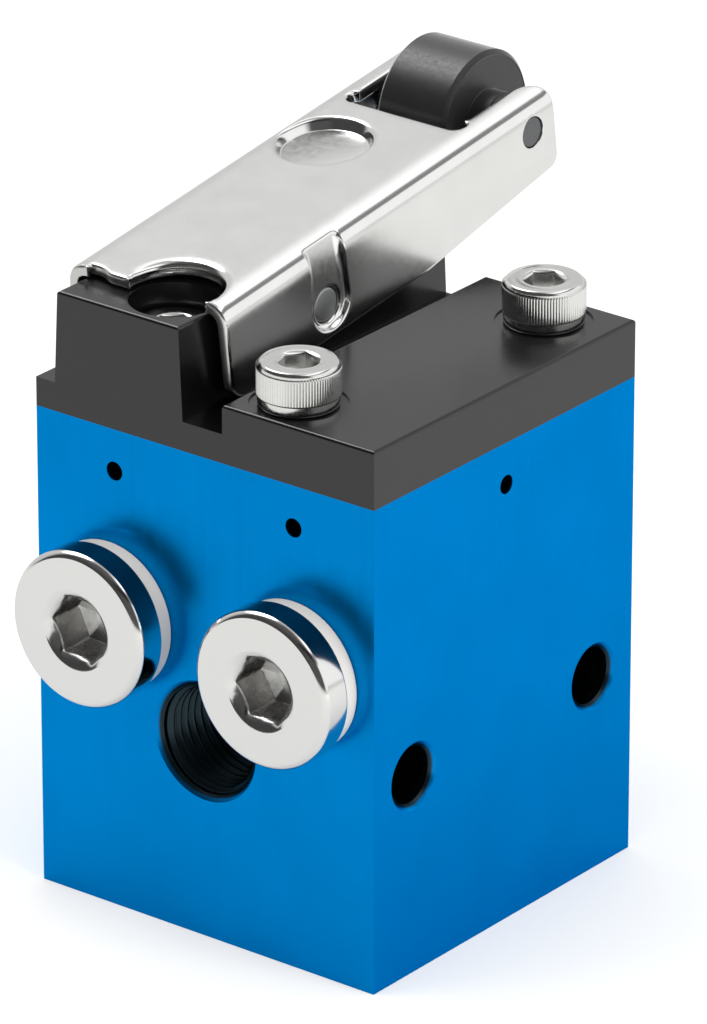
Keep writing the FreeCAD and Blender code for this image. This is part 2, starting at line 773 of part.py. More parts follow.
def make_diaphragm():
    """Moulded rubber diaphragm: clamped rim, rolled fold and a flat middle over the plate."""
    body = new_body("diaphragm")
    plate_top = diaphragm_floor - dim.plate_drop
    flat = plate_top + dim.fit_gap
    sheet_thickness = dim.diaphragm_thickness / 2
    rim_inner = dim.chamber_radius - dim.fit_gap * 4
    fold_inner = dim.plate_radius + dim.fit_gap * 4
    crown = dim.body_height - dim.fit_gap
    turned(body, [
        (0, flat),
        (fold_inner, flat),
        (fold_inner + sheet_thickness / 2, crown - sheet_thickness),
        (rim_inner - sheet_thickness / 2, crown - sheet_thickness),
        (rim_inner, diaphragm_floor),
        (dim.diaphragm_radius - dim.fit_gap, diaphragm_floor),
        (dim.diaphragm_radius - dim.fit_gap, dim.body_height),
        (dim.dome_radius, dim.body_height),
        (rim_inner - sheet_thickness / 2, crown),
        (fold_inner, crown),
        (fold_inner - sheet_thickness / 2, flat + sheet_thickness),
        (0, flat + sheet_thickness),
    ])


def make_lever():
    """Stamped lever: a U channel with a notch, a pressed dimple, pivot pads and a roller slot."""
    body = new_body("lever")
    half, inner = lever_half, lever_inner
    top, under = dim.web_height, dim.web_height - dim.lever_sheet
    section = sketch_on(body, "XZ_Plane", -dim.lever_rear)
    add_outline(section, [
        (-half, -dim.flange_drop),
        (-inner, -dim.flange_drop),
        (-inner, under),
        (inner, under),
        (inner, -dim.flange_drop),
        (half, -dim.flange_drop),
        (half, top),
        (-half, top),
    ])
    pad(body, section, dim.lever_rear + dim.lever_front)

    def is_long(edge, x, z):
        length = edge.BoundBox.YMax - edge.BoundBox.YMin
        middle = edge.BoundBox.Center
        level = abs(middle.z - z.value) < SAME_PLACE
        return length > dim.lever_sheet.value and abs(abs(middle.x) - x.value) < SAME_PLACE and level

    dress(body, "Fillet", dim.lever_bend_radius, lambda edge: is_long(edge, half, top))
    dress(body, "Fillet", dim.lever_bend_radius - dim.lever_sheet, lambda edge: is_long(edge, inner, under))
    # both flanges taper up towards the roller, and their corners are round
    trim = sketch_on(body, "YZ_Plane", -THROUGH / 2)
    add_outline(trim, [
        (dim.flange_taper_start, -dim.flange_drop),
        (dim.lever_rear, -dim.flange_rear_drop),
        (dim.lever_rear + dim.lever_sheet, -dim.flange_rear_drop),
        (dim.lever_rear + dim.lever_sheet, -dim.flange_drop - dim.lever_sheet),
        (dim.flange_taper_start, -dim.flange_drop - dim.lever_sheet),
    ])
    pocket(body, trim, THROUGH, Reversed=True)

    def is_corner(edge, y, z):
        box = edge.BoundBox
        across = box.XMax - box.XMin
        thin = abs(across - dim.lever_sheet.value) < SAME_PLACE and box.YMax - box.YMin < SAME_PLACE
        aside = max(abs(box.Center.y - as_size(y).value), abs(box.Center.z - as_size(z).value))
        return thin and aside < SAME_PLACE

    dress(body, "Fillet", dim.flange_front_round, lambda edge: is_corner(edge, -dim.lever_front, -dim.flange_drop))
    dress(body, "Fillet", dim.flange_rear_round, lambda edge: is_corner(edge, dim.lever_rear, -dim.flange_rear_drop))
    # the rear corners over the roller are round
    round_y, round_z = dim.lever_rear - dim.arm_round, top - dim.arm_round
    corner = sketch_on(body, "YZ_Plane", -THROUGH / 2)
    add_outline(corner, [
        (round_y, top),
        (round_y, top + dim.lever_sheet),
        (dim.lever_rear + dim.lever_sheet, top + dim.lever_sheet),
        (dim.lever_rear + dim.lever_sheet, round_z),
        (dim.lever_rear, round_z),
    ], centre=(round_y, round_z))
    pocket(body, corner, THROUGH, Reversed=True)
    # shallow relief in the front edge beside the left bend
    relief_start = dim.lever_bend_radius - half
    relief_end = relief_start + dim.front_relief_width
    relief = sketch_on(body, "XY_Plane", top)
    add_outline(relief, [
        (relief_start, -dim.lever_front - dim.lever_sheet),
        (relief_end, -dim.lever_front - dim.lever_sheet),
        (relief_end, -dim.lever_front),
        (relief_start + dim.front_relief_lead, dim.front_relief_depth - dim.lever_front),
        (relief_start, -dim.lever_front),
    ])
    pocket(body, relief, dim.punch_depth)
    # screwdriver notch in the front edge, over the screw in the tower
    notch_x = -dim.front_screw_x - dim.lever_x
    notch_y = along_lever(dim.front_screw_y, dim.web_height)
    drill(body, "XY_Plane", notch_x, notch_y, dim.notch_radius, top, dim.punch_depth)
    # roller slot, open to the rear, with a round relief in each corner
    slot = sketch_on(body, "XY_Plane", top)
    add_rectangle(slot, -slot_half, slot_half, slot_start, dim.lever_rear + dim.lever_sheet)
    pocket(body, slot, THROUGH)
    for side in (-1, 1):
        relief_x = side * (slot_half - dim.slot_relief_radius / 2)
        drill(body, "XY_Plane", relief_x, slot_start + dim.slot_relief_radius, dim.slot_relief_radius, top,
              dim.punch_depth)
    # dimple that presses on the plunger
    dimple_x = pilot_x - dim.lever_x
    dimple_y = along_lever(pilot_y, dimple_underside)
    boss = sketch_on(body, "XY_Plane", dimple_underside)
    add_circle(boss, dimple_x, dimple_y, dim.dimple_radius + dim.dimple_wall)
    pad(body, boss, dim.web_height - dim.lever_sheet / 2 - dimple_underside)
    drill(body, "XY_Plane", dimple_x, dimple_y, dim.dimple_radius, top, dim.dimple_depth)
    dress(body, "Fillet", dim.press_round, lambda edge: is_circle(edge, dim.dimple_radius))
    # pads pressed inwards round the pivot, each a U open at the bend
    pad_half = dim.pad_width / 2
    for side, reverse in ((-1, False), (1, True)):
        raised = sketch_on(body, "YZ_Plane", side * (inner - dim.pad_depth))
        reach = pad_half - dim.pad_rim / 2
        add_pad_outline(raised, reach, pad_half - dim.pad_drop, under - dim.lever_sheet / 2)
        pad(body, raised, dim.pad_depth + dim.lever_sheet / 2, Reversed=not reverse)
        sunk = sketch_on(body, "YZ_Plane", side * (half - dim.pad_depth))
        add_pad_outline(sunk, pad_half, pad_half - dim.pad_drop, top + dim.lever_sheet)
        pocket(body, sunk, dim.pad_depth + dim.lever_sheet, Reversed=reverse)
    drill(body, "YZ_Plane", 0, 0, dim.pivot_pin_radius + dim.running_gap, half, dim.lever_width)
    drill(body, "YZ_Plane", roller_along, dim.roller_z, dim.roller_pin_radius + dim.poppet_fit, half, dim.lever_width)
    put(body, dim.lever_x, 0, dim.pivot_height, (1, 0, 0), dim.lever_tilt)


def add_pad_outline(sketch, radius, middle, top):
    """A flat-topped U with straight sides down to a half circle below the pivot."""
    add_outline(sketch, [(radius, middle), (radius, top), (-radius, top), (-radius, middle)], centre=(0, middle))


def make_pins():
    """Pivot pin fixed in the tower, and the roller pin fixed in the lever's flanges."""
    pivot_half = lever_half - dim.pad_depth - dim.pin_recess
    roller_half = lever_half - dim.pin_recess
    for name, radius, half in (
        ("pivot_pin", dim.pivot_pin_radius, pivot_half),
        ("roller_pin", dim.roller_pin_radius, roller_half),
    ):
        pin = new_body(name)
        sketch = sketch_on(pin, "YZ_Plane", -half)
        add_circle(sketch, 0, 0, radius)
        pad(pin, sketch, 2 * half)
        dress(pin, "Chamfer", dim.pin_recess * 2, lambda edge: is_circle(edge, radius))
    put(doc.getObject("pivot_pin"), dim.lever_x, 0, dim.pivot_height)
    roller_y, roller_z = roller_place()
    put(doc.getObject("roller_pin"), dim.lever_x, roller_y, roller_z)


def roller_place():
    """The roller's axis in the valve's frame, at rest."""
    lean, rise = cosine(dim.lever_tilt), sine(dim.lever_tilt)
    y = roller_along * lean - dim.roller_z * rise
    z = dim.pivot_height + roller_along * rise + dim.roller_z * lean
    return y, z


def make_roller():
    """Moulded roller with dished sides and a hub that keeps it between the lever's arms."""
    body = new_body("roller")
    bore = dim.roller_pin_radius + dim.running_gap
    rim, hub = dim.roller_width / 2, slot_half - dim.roller_hub_gap
    dish = rim - dim.roller_dish
    rim_inner = dim.roller_radius - dim.roller_rim
    turned(body, [
        (bore, -hub),
        (dim.roller_hub_radius, -hub),
        (dim.roller_hub_radius, -dish),
        (rim_inner, -dish),
        (rim_inner, -rim),
        (dim.roller_radius, -rim),
        (dim.roller_radius, rim),
        (rim_inner, rim),
        (rim_inner, dish),
        (dim.roller_hub_radius, dish),
        (dim.roller_hub_radius, hub),
        (bore, hub),
    ])
    dress(body, "Fillet", dim.roller_round, lambda edge: is_circle(edge, dim.roller_radius))
    y, z = roller_place()
    put(body, dim.lever_x + dim.roller_shift, y, z, (0, 1, 0), 90)


def make_pilot():
    """Plunger under the lever's dimple and the ball valve that it opens."""
    contact = dim.pivot_height + dimple_underside / cosine(dim.lever_tilt)
    contact = contact + pilot_y * sine(dim.lever_tilt) / cosine(dim.lever_tilt)
    plunger_top = contact - dim.plunger_gap - dim.plunger_dome * (1 / cosine(dim.lever_tilt) - 1)
    collar_base = plunger_collar_top - dim.plunger_collar_thickness
    tip = ball_height + dim.pilot_ball_radius + 2 * dim.fit_gap
    plunger = new_body("pilot_plunger")
    turned(plunger, [
        (0, tip),
        (dim.plunger_tip_radius, tip),
        (dim.plunger_tip_radius, tip + dim.plunger_tip_length),
        (dim.plunger_stem_radius, tip + dim.plunger_tip_length),
        (dim.plunger_stem_radius, collar_base),
        (dim.plunger_collar_radius, collar_base),
        (dim.plunger_collar_radius, plunger_collar_top),
        (dim.plunger_radius, plunger_collar_top),
        (dim.plunger_radius, plunger_top),
        (0, plunger_top),
    ])
    dress(plunger, "Fillet", dim.plunger_dome, lambda edge: is_circle(edge, dim.plunger_radius, z=plunger_top))
    put(plunger, pilot_x, pilot_y)
    ring_height = tower_top - dim.plunger_guide_length / 2
    make_seal_ring("plunger_oring", dim.plunger_radius + seal_radius + dim.seal_gap, ring_height, pilot_x, pilot_y)
    make_spring("plunger_spring", dim.plunger_spring_radius, dim.plunger_spring_wire, dim.plunger_spring_turns,
                pilot_seat_top + dim.spring_gap, collar_base - dim.spring_gap, pilot_x, pilot_y)
    seat = new_body("pilot_seat")
    outside = dim.pilot_bore_radius - dim.fit_gap
    turned(seat, [
        (dim.pilot_hole_radius, pilot_seat_base),
        (outside, pilot_seat_base),
        (outside, pilot_seat_top),
        (dim.pilot_mouth_radius, pilot_seat_top),
        (dim.pilot_mouth_radius, pilot_seat_top - dim.pilot_mouth_depth),
        (dim.pilot_hole_radius, pilot_seat_top - dim.pilot_mouth_depth),
    ])
    ring_height = pilot_seat_base + (dim.pilot_seat_length - dim.pilot_mouth_depth) / 2
    add_groove(seat, dim.pilot_bore_radius - dim.seal_section - dim.fit_gap, outside + dim.fit_gap, ring_height)
    put(seat, pilot_x, pilot_y)
    make_seal_ring("pilot_seat_oring", dim.pilot_bore_radius - seal_radius - dim.seal_gap, ring_height,
                   pilot_x, pilot_y)
    ball = doc.addObject("Part::Sphere", "pilot_ball")
    ball.Label = "pilot_ball"
    bind(ball, "Radius", dim.pilot_ball_radius)
    pieces.append(ball)
    put(ball, pilot_x, pilot_y, ball_height)
    touch = dim.pilot_ball_radius * dim.pilot_ball_radius - dim.pilot_spring_radius * dim.pilot_spring_radius
    make_spring("pilot_spring", dim.pilot_spring_radius, dim.pilot_spring_wire, dim.pilot_spring_turns,
                dim.pilot_chamber_floor + dim.spring_gap, ball_height - root(touch) - dim.spring_gap,
                pilot_x, pilot_y)


def check_document():
    """Stop if any object failed, any cut removed nothing, or any piece isn't a sound solid."""
    doc.recompute()
    for item in doc.Objects:
        if {"Invalid", "Error"} & set(item.State):
            raise RuntimeError(f"{item.Label} failed: {item.State}")
        if item.TypeId in ("PartDesign::Pocket", "PartDesign::Groove"):
            removed = item.BaseFeature.Shape.Volume - item.Shape.Volume
            if removed < LEAST_CUT:
                raise RuntimeError(f"{item.Label} cuts nothing")
    for piece in pieces:
        if piece.Shape.isNull() or not piece.Shape.isValid() or not piece.Shape.Solids:
            raise RuntimeError(f"{piece.Label} isn't a sound solid")


def write_parts():
    """Write each piece to a STEP file that carries its name."""
    os.makedirs("parts", exist_ok=True)
    for piece in pieces:
        piece.Shape.exportStep(f"parts/{piece.Label}.step")
        print(piece.Label, round(piece.Shape.Volume, 2), len(piece.Shape.Solids))


make_valve_body()
make_housing()
make_cap_screws()
for side, name in ((-1, "left"), (1, "right")):
    make_plug(side, name)
make_end_plug()
make_spindle()
make_guide_bush()
make_diaphragm()
make_lever()
make_pins()
make_roller()
make_pilot()
check_document()
write_parts()
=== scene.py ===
import json
import math
from functools import partial

import bmesh
import bpy
import numpy as np
from bpy.props import FloatProperty, FloatVectorProperty, IntProperty, PointerProperty
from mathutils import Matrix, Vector
from mathutils.geometry import delaunay_2d_cdt


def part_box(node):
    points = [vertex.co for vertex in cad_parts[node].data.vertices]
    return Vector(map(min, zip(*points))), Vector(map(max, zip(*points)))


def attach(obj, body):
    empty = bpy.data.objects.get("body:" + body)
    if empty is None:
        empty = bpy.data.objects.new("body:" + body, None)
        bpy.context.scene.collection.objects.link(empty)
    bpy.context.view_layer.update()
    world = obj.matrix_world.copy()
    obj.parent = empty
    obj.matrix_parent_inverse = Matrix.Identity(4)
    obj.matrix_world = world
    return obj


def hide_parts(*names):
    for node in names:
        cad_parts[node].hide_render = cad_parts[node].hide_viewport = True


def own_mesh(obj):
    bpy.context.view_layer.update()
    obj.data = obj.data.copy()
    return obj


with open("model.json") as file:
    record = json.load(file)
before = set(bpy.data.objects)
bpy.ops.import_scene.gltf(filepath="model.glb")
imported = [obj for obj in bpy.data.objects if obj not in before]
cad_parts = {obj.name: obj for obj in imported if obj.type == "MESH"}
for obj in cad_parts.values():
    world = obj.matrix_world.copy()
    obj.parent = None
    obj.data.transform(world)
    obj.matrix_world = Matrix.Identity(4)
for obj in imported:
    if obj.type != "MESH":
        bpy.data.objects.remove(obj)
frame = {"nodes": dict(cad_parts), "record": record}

bl_info = {
    "name": "Roller lever valve finish",
    "version": (1, 0, 0),
    "blender": (4, 5, 0),
    "location": "View3D > Sidebar > Roller Valve",
    "description": "Surfaces, finishes and studio for a small roller lever air valve",
    "category": "Object",
}

MM = 0.001
TURN = 2 * math.pi
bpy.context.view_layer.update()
SCREW_RADIUS = 3.5 * MM  # half the width of an M4 cap screw's head
COLOURS = {"data_type": "RGBA", "out": 2}  # a Mix node's setting for colours, and its colour output


def linear(code):
    """sRGB hex colour as linear red, green, blue and alpha."""
    parts = [int(code[i:i + 2], 16) / 255 for i in (0, 2, 4)]
    return [c / 12.92 if c <= 0.04045 else ((c + 0.055) / 1.055) ** 2.4 for c in parts] + [1.0]


def size(name, description, millimetres):
    """A length property, kept in metres, with its default given in millimetres."""
    return FloatProperty(name=name, description=description, default=millimetres * MM, min=0.0,
                         unit="LENGTH", subtype="DISTANCE", precision=5)


def amount(name, description, default, low=0.0, **more):
    """A number property with its default and its lowest value."""
    return FloatProperty(name=name, description=description, default=default, min=low, **more)


def tint(name, description, code):
    """A colour property whose default is an sRGB hex value."""
    return FloatVectorProperty(name=name, description=description, default=linear(code), size=4,
                               min=0.0, max=1.0, subtype="COLOR")


def node_box(node):
    """Lowest and highest corner of a CAD node as arrays."""
    low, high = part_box(node)
    return np.array(low), np.array(high)


def node_middle(node):
    """Middle of a CAD node's box."""
    low, high = node_box(node)
    return (low + high) / 2


class BlockSettings(bpy.types.PropertyGroup):
    edge: size("Edge", "Width of the broken edges of the block and its holes", 0.07)
    milling: size("Milling marks", "Spacing of the fine upright milling marks", 0.5)
    colour: tint("Anodising", "Colour of the dyed oxide layer", "007FC9")
    # Painted shade: the bores take this dark colour for the little light that reaches inside them
    painted_bore_shade: tint("Bore", "Colour of the bores, where the dye takes darker", "2C393F")
    pipe_pitch: size("Pipe thread pitch", "Pitch of the G 1/8 port threads", 0.907)
    pipe_depth: size("Pipe thread depth", "Depth of the G 1/8 port threads", 0.55)
    screw_pitch: size("M6 pitch", "Pitch of the threads in the side holes", 1.0)
    screw_depth: size("M6 thread depth", "Depth to which the side holes' threads are drawn", 0.1)


class HousingSettings(bpy.types.PropertyGroup):
    edge: size("Edge", "Radius on the housing's sharp edges", 0.015)
    grain: size("Grain", "Size of the fine moulded grain", 0.35)
    colour: tint("Moulding", "Colour of the black moulding", "0C0C0D")


class LeverSettings(bpy.types.PropertyGroup):
    sheet: size("Sheet", "Thickness of the sheet steel", 1.0)
    bend: size("Bend", "Length of each long bend, measured round its outside", 4.13)
    roll: size("Rolled edge", "Radius that the punch rolls on the outer side of the edges", 0.34)
    hole_roll: size("Pivot hole edge", "Radius on the outer side of the pivot holes", 0.36)
    burr: size("Inner edge", "Radius on the inner side of the edges", 0.12)
    mesh: size("Spacing", "Distance between the surface's points", 0.4)
    notch: size("Notch", "Radius of the screwdriver notch", 4.1)
    notch_drop: size("Notch rim", "How far the rim is pushed down in the middle of the notch", 0.34)
    notch_reach: size("Notch rim width", "Width over which the rim is pushed down", 0.9)
    relief: size("Slot relief", "Radius of the round reliefs in the roller slot's corners", 0.95)
    dimple: size("Dimple", "Radius of the floor of the pressed dimple", 3.73)
    dimple_depth: size("Dimple depth", "Depth of the dimple's floor", 0.95)
    shoulder: size("Dimple shoulder", "Radius of the shoulder round the dimple", 0.5)
    dimple_wall: amount("Dimple wall", "Steepness of the dimple's wall", math.radians(62), 0.1, max=1.5,
                        subtype="ANGLE")
    pad_width: size("Pad width", "Width of the pads round the pivot", 4.8)
    pad_depth: size("Pad depth", "Depth to which the pads are pressed in", 0.44)
    pad_lean: amount("Pad lean", "Curve of the pads towards the web, per metre", 22.0)
    press: size("Press edge", "Half the width of the step round each pressed area", 0.2)
    grain: size("Grain", "Size of the plating's fine grain", 0.5)
    colour: tint("Zinc", "Colour of the bright zinc plating", "E5E5E4")
    edge_colour: tint("Sheared edge", "Colour of the plating where the sheared edges take it dull", "C6C6C4")
    # Painted shade: one side of the dimple's floor is coloured this darker grey
    painted_dimple_shade: tint("Worn plating", "Colour of the dimple's floor, where the punch dulled the plating", "868685")


class RollerSettings(bpy.types.PropertyGroup):
    chamfer: size("Chamfer", "Width of the chamfer round the rim", 0.4)
    dish: size("Dish", "Depth of the recess in the roller's sides", 0.08)
    colour: tint("Acetal", "Colour of the black acetal", "1D1D1E")
    pin_colour: tint("Roller pin", "Colour of the roller's pin", "6E6F70")
    pivot_colour: tint("Pivot pin", "Colour of the lever's pivot pin", "B4B5B6")


class ScrewSettings(bpy.types.PropertyGroup):
    head: size("Head", "Height of the head", 3.85)
    chamfer: size("Chamfer", "Height and width of the chamfer round the head's top", 0.42)
    knurls: IntProperty(name="Knurls", description="Ridges round each head", default=88, min=12)
    knurl_depth: size("Knurl depth", "Depth of the grooves between the ridges", 0.08)
    foot: size("Foot", "Height of the plain band under the knurling", 1.0)
    socket: size("Socket", "Width across the flats of the socket", 3.0)
    socket_depth: size("Socket depth", "Depth of the socket", 2.2)
    colour: tint("Plating", "Colour of the bright plating", "DCDCDA")


class PlugSettings(bpy.types.PropertyGroup):
    head: size("Head", "Height of the head", 2.9)
    chamfer: size("Chamfer", "Width of the chamfer round the face", 0.55)
    mouth: size("Mouth", "Radius of the countersink round the socket", 3.4)
    socket: size("Socket", "Width across the flats of the socket", 5.0)
    socket_depth: size("Socket depth", "Depth of the socket", 3.8)
    turning: size("Turning marks", "Spacing of the fine rings left by turning the face", 0.16)
    colour: tint("Nickel", "Colour of the nickel plating", "DEDEDD")
    # Dull plating and painted shade: the colour that the socket takes deeper in
    dull: tint("Dull nickel", "Colour of the plating in the socket, where it takes thin", "B8B7B5")
    seal_colour: tint("Seals", "Colour of the flat seals", "EFEAE1")


class StageSettings(bpy.types.PropertyGroup):
    floor: tint("Floor", "Colour of the pale floor", "F4F4F2")
    wall: amount("Walls", "How bright the walls look in mirrors", 0.85)
    ceiling: amount("Ceiling", "How bright the ceiling looks in mirrors", 1.6)
    panel: amount("Right-hand wall", "How much brighter the right-hand wall looks in mirrors", 0.5)
    box: amount("Lamp box", "How bright the lamp box looks in mirrors", 6.5)
    focal: amount("Focal length", "Length of the lens", 310.1, 1.0, unit="CAMERA")
    key: amount("Key light", "Power of the big soft lamp", 0.9, unit="POWER")
    sky: amount("Sky", "Strength of the studio's white walls", 0.85)


def settings():
    """All the valve's settings."""
    return bpy.context.scene.roller_valve


def save_mesh(name, points, faces):
    """Mesh from points (n, 3) and a list of face arrays, each (m, corners), set in whole arrays."""
    mesh = bpy.data.meshes.new(name)
    points = np.ascontiguousarray(points, np.float32)
    mesh.vertices.add(len(points))
    mesh.vertices.foreach_set("co", points.ravel())
    corners = np.concatenate([f.ravel() for f in faces]).astype(np.int32)
    sides = np.concatenate([np.full(len(f), f.shape[1]) for f in faces]).astype(np.int32)
    mesh.loops.add(len(corners))
    mesh.loops.foreach_set("vertex_index", corners)
    mesh.polygons.add(len(sides))
    mesh.polygons.foreach_set("loop_start", np.concatenate([[0], np.cumsum(sides)[:-1]]).astype(np.int32))
    mesh.polygons.foreach_set("use_smooth", np.ones(len(sides), bool))
    mesh.update(calc_edges=True)
    mesh.validate()
    return mesh


def add_object(name, data):
    """Puts a new object with this data in the scene."""
    made = bpy.data.objects.new(name, data)
    bpy.context.scene.collection.objects.link(made)
    return made


def add_piece(name, mesh, body, material, nodes, even=True):
    """Puts a finished mesh in the scene on its body, in place of the CAD nodes that it stands for."""
    piece = add_object(name, mesh)
    mesh.materials.append(material)
    if even:
        piece.modifiers.new("Even normals", "WEIGHTED_NORMAL").weight = 60
    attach(piece, body)
    if nodes:
        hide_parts(*nodes)
    return piece


def grid_faces(rows, columns, close_rows=False):
    """Quads between the neighbours of a grid whose points are numbered row by row, and whose rows are closed
    rings."""
    i = np.arange(rows if close_rows else rows - 1)[:, None]
    j = np.arange(columns)[None, :]
    i_next, j_next = (i + 1) % rows, (j + 1) % columns
    return np.stack([i * columns + j, i * columns + j_next, i_next * columns + j_next, i_next * columns + j],
                    axis=-1).reshape(-1, 4)


def rounded(corners, radii, steps=4):
    """Profile with an arc of the given radius in place of each corner. An arc's points lie on the circle
    that touches both neighbouring lines, spaced evenly by angle; a radius of 0 keeps the corner."""
    corners = np.array(corners, float)
    made = []
    for index, (point, radius) in enumerate(zip(corners, radii)):
        if radius <= 0 or index in (0, len(corners) - 1):
            made.append(point[None])
            continue
        before = corners[index - 1] - point
        after = corners[index + 1] - point
        reach = min(np.linalg.norm(before), np.linalg.norm(after)) * 0.499
        before /= np.linalg.norm(before)
        after /= np.linalg.norm(after)
        half = math.acos(np.clip(before @ after, -1, 1)) / 2
        radius = min(radius, reach * math.tan(half))
        middle = point + (before + after) / np.linalg.norm(before + after) * radius / math.sin(half)
        start = point + before * radius / math.tan(half) - middle
        end = point + after * radius / math.tan(half) - middle
        sweep = math.pi - 2 * half
        share = np.linspace(0, 1, steps + 1)[:, None]
        turned = np.sin((1 - share) * sweep) * start + np.sin(share * sweep) * end
        made.append(middle + turned / math.sin(sweep))
    return np.concatenate(made)


def lathe(rows, columns, centre, axis, closed=False):
    """Points and faces of a surface round an axis. A row holds its radius, which is one number or one for
    each column, and its height along the axis. Column j lies at angle 360 j / columns. A row of radius 0 at
    either end becomes one point."""
    radii = np.array([radius * np.ones(columns) for radius, _ in rows])
    heights = np.array([height for _, height in rows])[:, None, None]
    count = len(radii)
    axis = np.array(axis, float)
    side = np.cross(axis, (0, 0, 1)) if abs(axis[2]) < 0.9 else np.array([1.0, 0, 0])
    side /= np.linalg.norm(side)
    across = np.cross(axis, side)
    angle = np.arange(columns) * TURN / columns
    ring = np.cos(angle)[:, None] * side + np.sin(angle)[:, None] * across
    points = (centre + radii[..., None] * ring + heights * axis).reshape(-1, 3)
    if closed:
        return points, [grid_faces(count, columns, close_rows=True)]
    caps = []
    low, high = 0, count
    here = np.arange(columns)
    following = (here + 1) % columns
    if radii[0].max() < 1e-9:
        low = 1
        caps.append(np.stack([0 * here, columns + following, columns + here], 1))
    if radii[-1].max() < 1e-9:
        high = count - 1
        base = (count - 2) * columns
        caps.append(np.stack([0 * here + base + columns, base + here, base + following], 1))
    faces = grid_faces(high - low, columns) + low * columns
    keep = np.unique(np.concatenate([faces.ravel()] + [cap.ravel() for cap in caps]))
    number = np.zeros(count * columns, int)
    number[keep] = np.arange(len(keep))
    return points[keep], [number[faces]] + [number[cap] for cap in caps]


def hexagon(width, columns, start):
    """Distance from the middle to a hexagon's side at each angle: half the width over the cosine of the
    angle to the nearest flat. The first flat lies at the start angle."""
    angle = np.arange(columns) * TURN / columns - start
    return width / 2 / np.cos((angle + TURN / 12) % (TURN / 6) - TURN / 12)


def join(parts):
    """Several point and face sets as one."""
    points = np.concatenate([p for p, _ in parts])
    starts = np.cumsum([0] + [len(p) for p, _ in parts[:-1]])
    faces = [f + start for (_, group), start in zip(parts, starts) for f in group]
    return points, faces


def merged_copy(node, angle):
    """A CAD node's mesh with its loose triangles joined, and with flat areas made single faces."""
    mesh = frame["nodes"][node].data.copy()
    mesh.materials.clear()
    edit = bmesh.new()
    edit.from_mesh(mesh)
    bmesh.ops.remove_doubles(edit, verts=edit.verts, dist=0.001 * MM)
    bmesh.ops.dissolve_limit(edit, angle_limit=math.radians(angle), verts=edit.verts, edges=edit.edges)
    bmesh.ops.recalc_face_normals(edit, faces=edit.faces)
    for face in edit.faces:
        face.smooth = True
    edit.to_mesh(mesh)
    edit.free()
    return mesh


def add_bevel(piece, width, steps):
    """Rounds the sharp edges of a piece, before its normals are evened."""
    bevel = piece.modifiers.new("Broken edges", "BEVEL")
    bevel.width = width
    bevel.segments = steps
    bevel.limit_method = "ANGLE"
    bevel.angle_limit = math.radians(35)
    bevel.miter_outer = "MITER_ARC"
    bevel.use_clamp_overlap = True
    while piece.modifiers[0] != bevel:
        piece.modifiers.move(piece.modifiers.find(bevel.name), 0)


def add_node(tree, kind, *values, out=0, **named):
    """Adds one shader node and returns one of its outputs, or all of them where out is None. Values and
    links go to its inputs in order, or by name with underscores for spaces, or by number after an
    underscore. A name in small letters is a setting of the node."""
    node = tree.nodes.new("ShaderNode" + kind)
    inputs = dict(enumerate(values))
    for name, value in named.items():
        if name[0].islower():
            setattr(node, name, value)
        else:
            inputs[int(name[1:]) if name[1:].isdigit() else name.replace("_", " ")] = value
    for key, value in inputs.items():
        if isinstance(value, bpy.types.NodeSocket):
            tree.links.new(value, node.inputs[key])
        else:
            node.inputs[key].default_value = value
    return node.outputs if out is None else node.outputs[out]


def start_nodes(owner):
    """Empties a material's or a world's node tree, and returns the function that adds nodes to it."""
    owner.use_nodes = True
    owner.node_tree.nodes.clear()
    return partial(add_node, owner.node_tree)


def start_material(name):
    """An empty material, the function that adds its nodes, and Object coordinates."""
    material = bpy.data.materials.new(name)
    add = start_nodes(material)
    return material, add, add("TexCoord", out="Object")


def finish_material(add, marks, rough, depth, strength, **inputs):
    """Wires a Principled shader to the output. The middle range of the marks moves its roughness between
    two values, and their relief has the given depth in metres."""
    shader = add("BsdfPrincipled", Roughness=add("MapRange", marks, 0.3, 0.7, *rough),
                 Normal=add("Bump", Height=marks, Distance=depth, Strength=strength), **inputs)
    add("OutputMaterial", Surface=shader, out=None)


def clouded(add, place, colour, change, feature, detail=2.0):
    """The colour, drifting in clouds of the given size to one that is paler or duller by a factor."""
    clouds = add("TexNoise", Vector=place, Scale=1 / feature, Detail=detail)
    other = [min(1.0, part * change) for part in colour[:3]] + [1.0]
    return add("Mix", add("MapRange", clouds, 0.3, 0.7), _6=colour, _7=other, **COLOURS)


def larger(add, first, second):
    """The larger of two distances, each taken without its sign."""
    sizes = [add("Math", value, operation="ABSOLUTE") for value in (first, second)]
    return add("Math", *sizes, operation="MAXIMUM")


def product(add, first, *others):
    """Several values multiplied."""
    for other in others:
        first = add("Math", first, other, operation="MULTIPLY")
    return first


def anodised_aluminium():
    """Milled aluminium, dyed blue and sealed: an even satin colour with faint upright cutter marks, drawn
    coarser than a cutter leaves them, so that they show. Inside the bores, which are rougher, the colour is
    painted nearly black as painted shade, since they see little light."""
    look = settings().block
    material, add, place = start_material("anodised_aluminium")
    low, high = node_box("valve_body")
    inset, sole = 0.16 * MM, 0.14 * MM
    x, y, z = add("SeparateXYZ", place, out=None)
    # Painted shade: faces more than a little way in from the outer sides, above the bottom face, take the dark
    # bore colour
    inside = add("MapRange", larger(add, x, y), high[0] - 2 * inset, high[0] - inset, 1.0, 0.0)
    bore = product(add, inside, add("Math", z, low[2] + sole, operation="GREATER_THAN"))
    face = clouded(add, place, look.colour, 1.08, 9 * MM)
    upright = add("Mapping", place, Scale=(1, 1, 0.02))
    marks = add("TexNoise", Vector=upright, Scale=1 / look.milling, Detail=3.0)
    finish_material(add, marks, (0.28, 0.36), 0.004 * MM, 0.5, Metallic=1.0,
                    Base_Color=add("Mix", bore, _6=face, _7=look.painted_bore_shade, **COLOURS),
                    Specular_Tint=(0.1, 0.55, 0.9, 1.0))
    return material


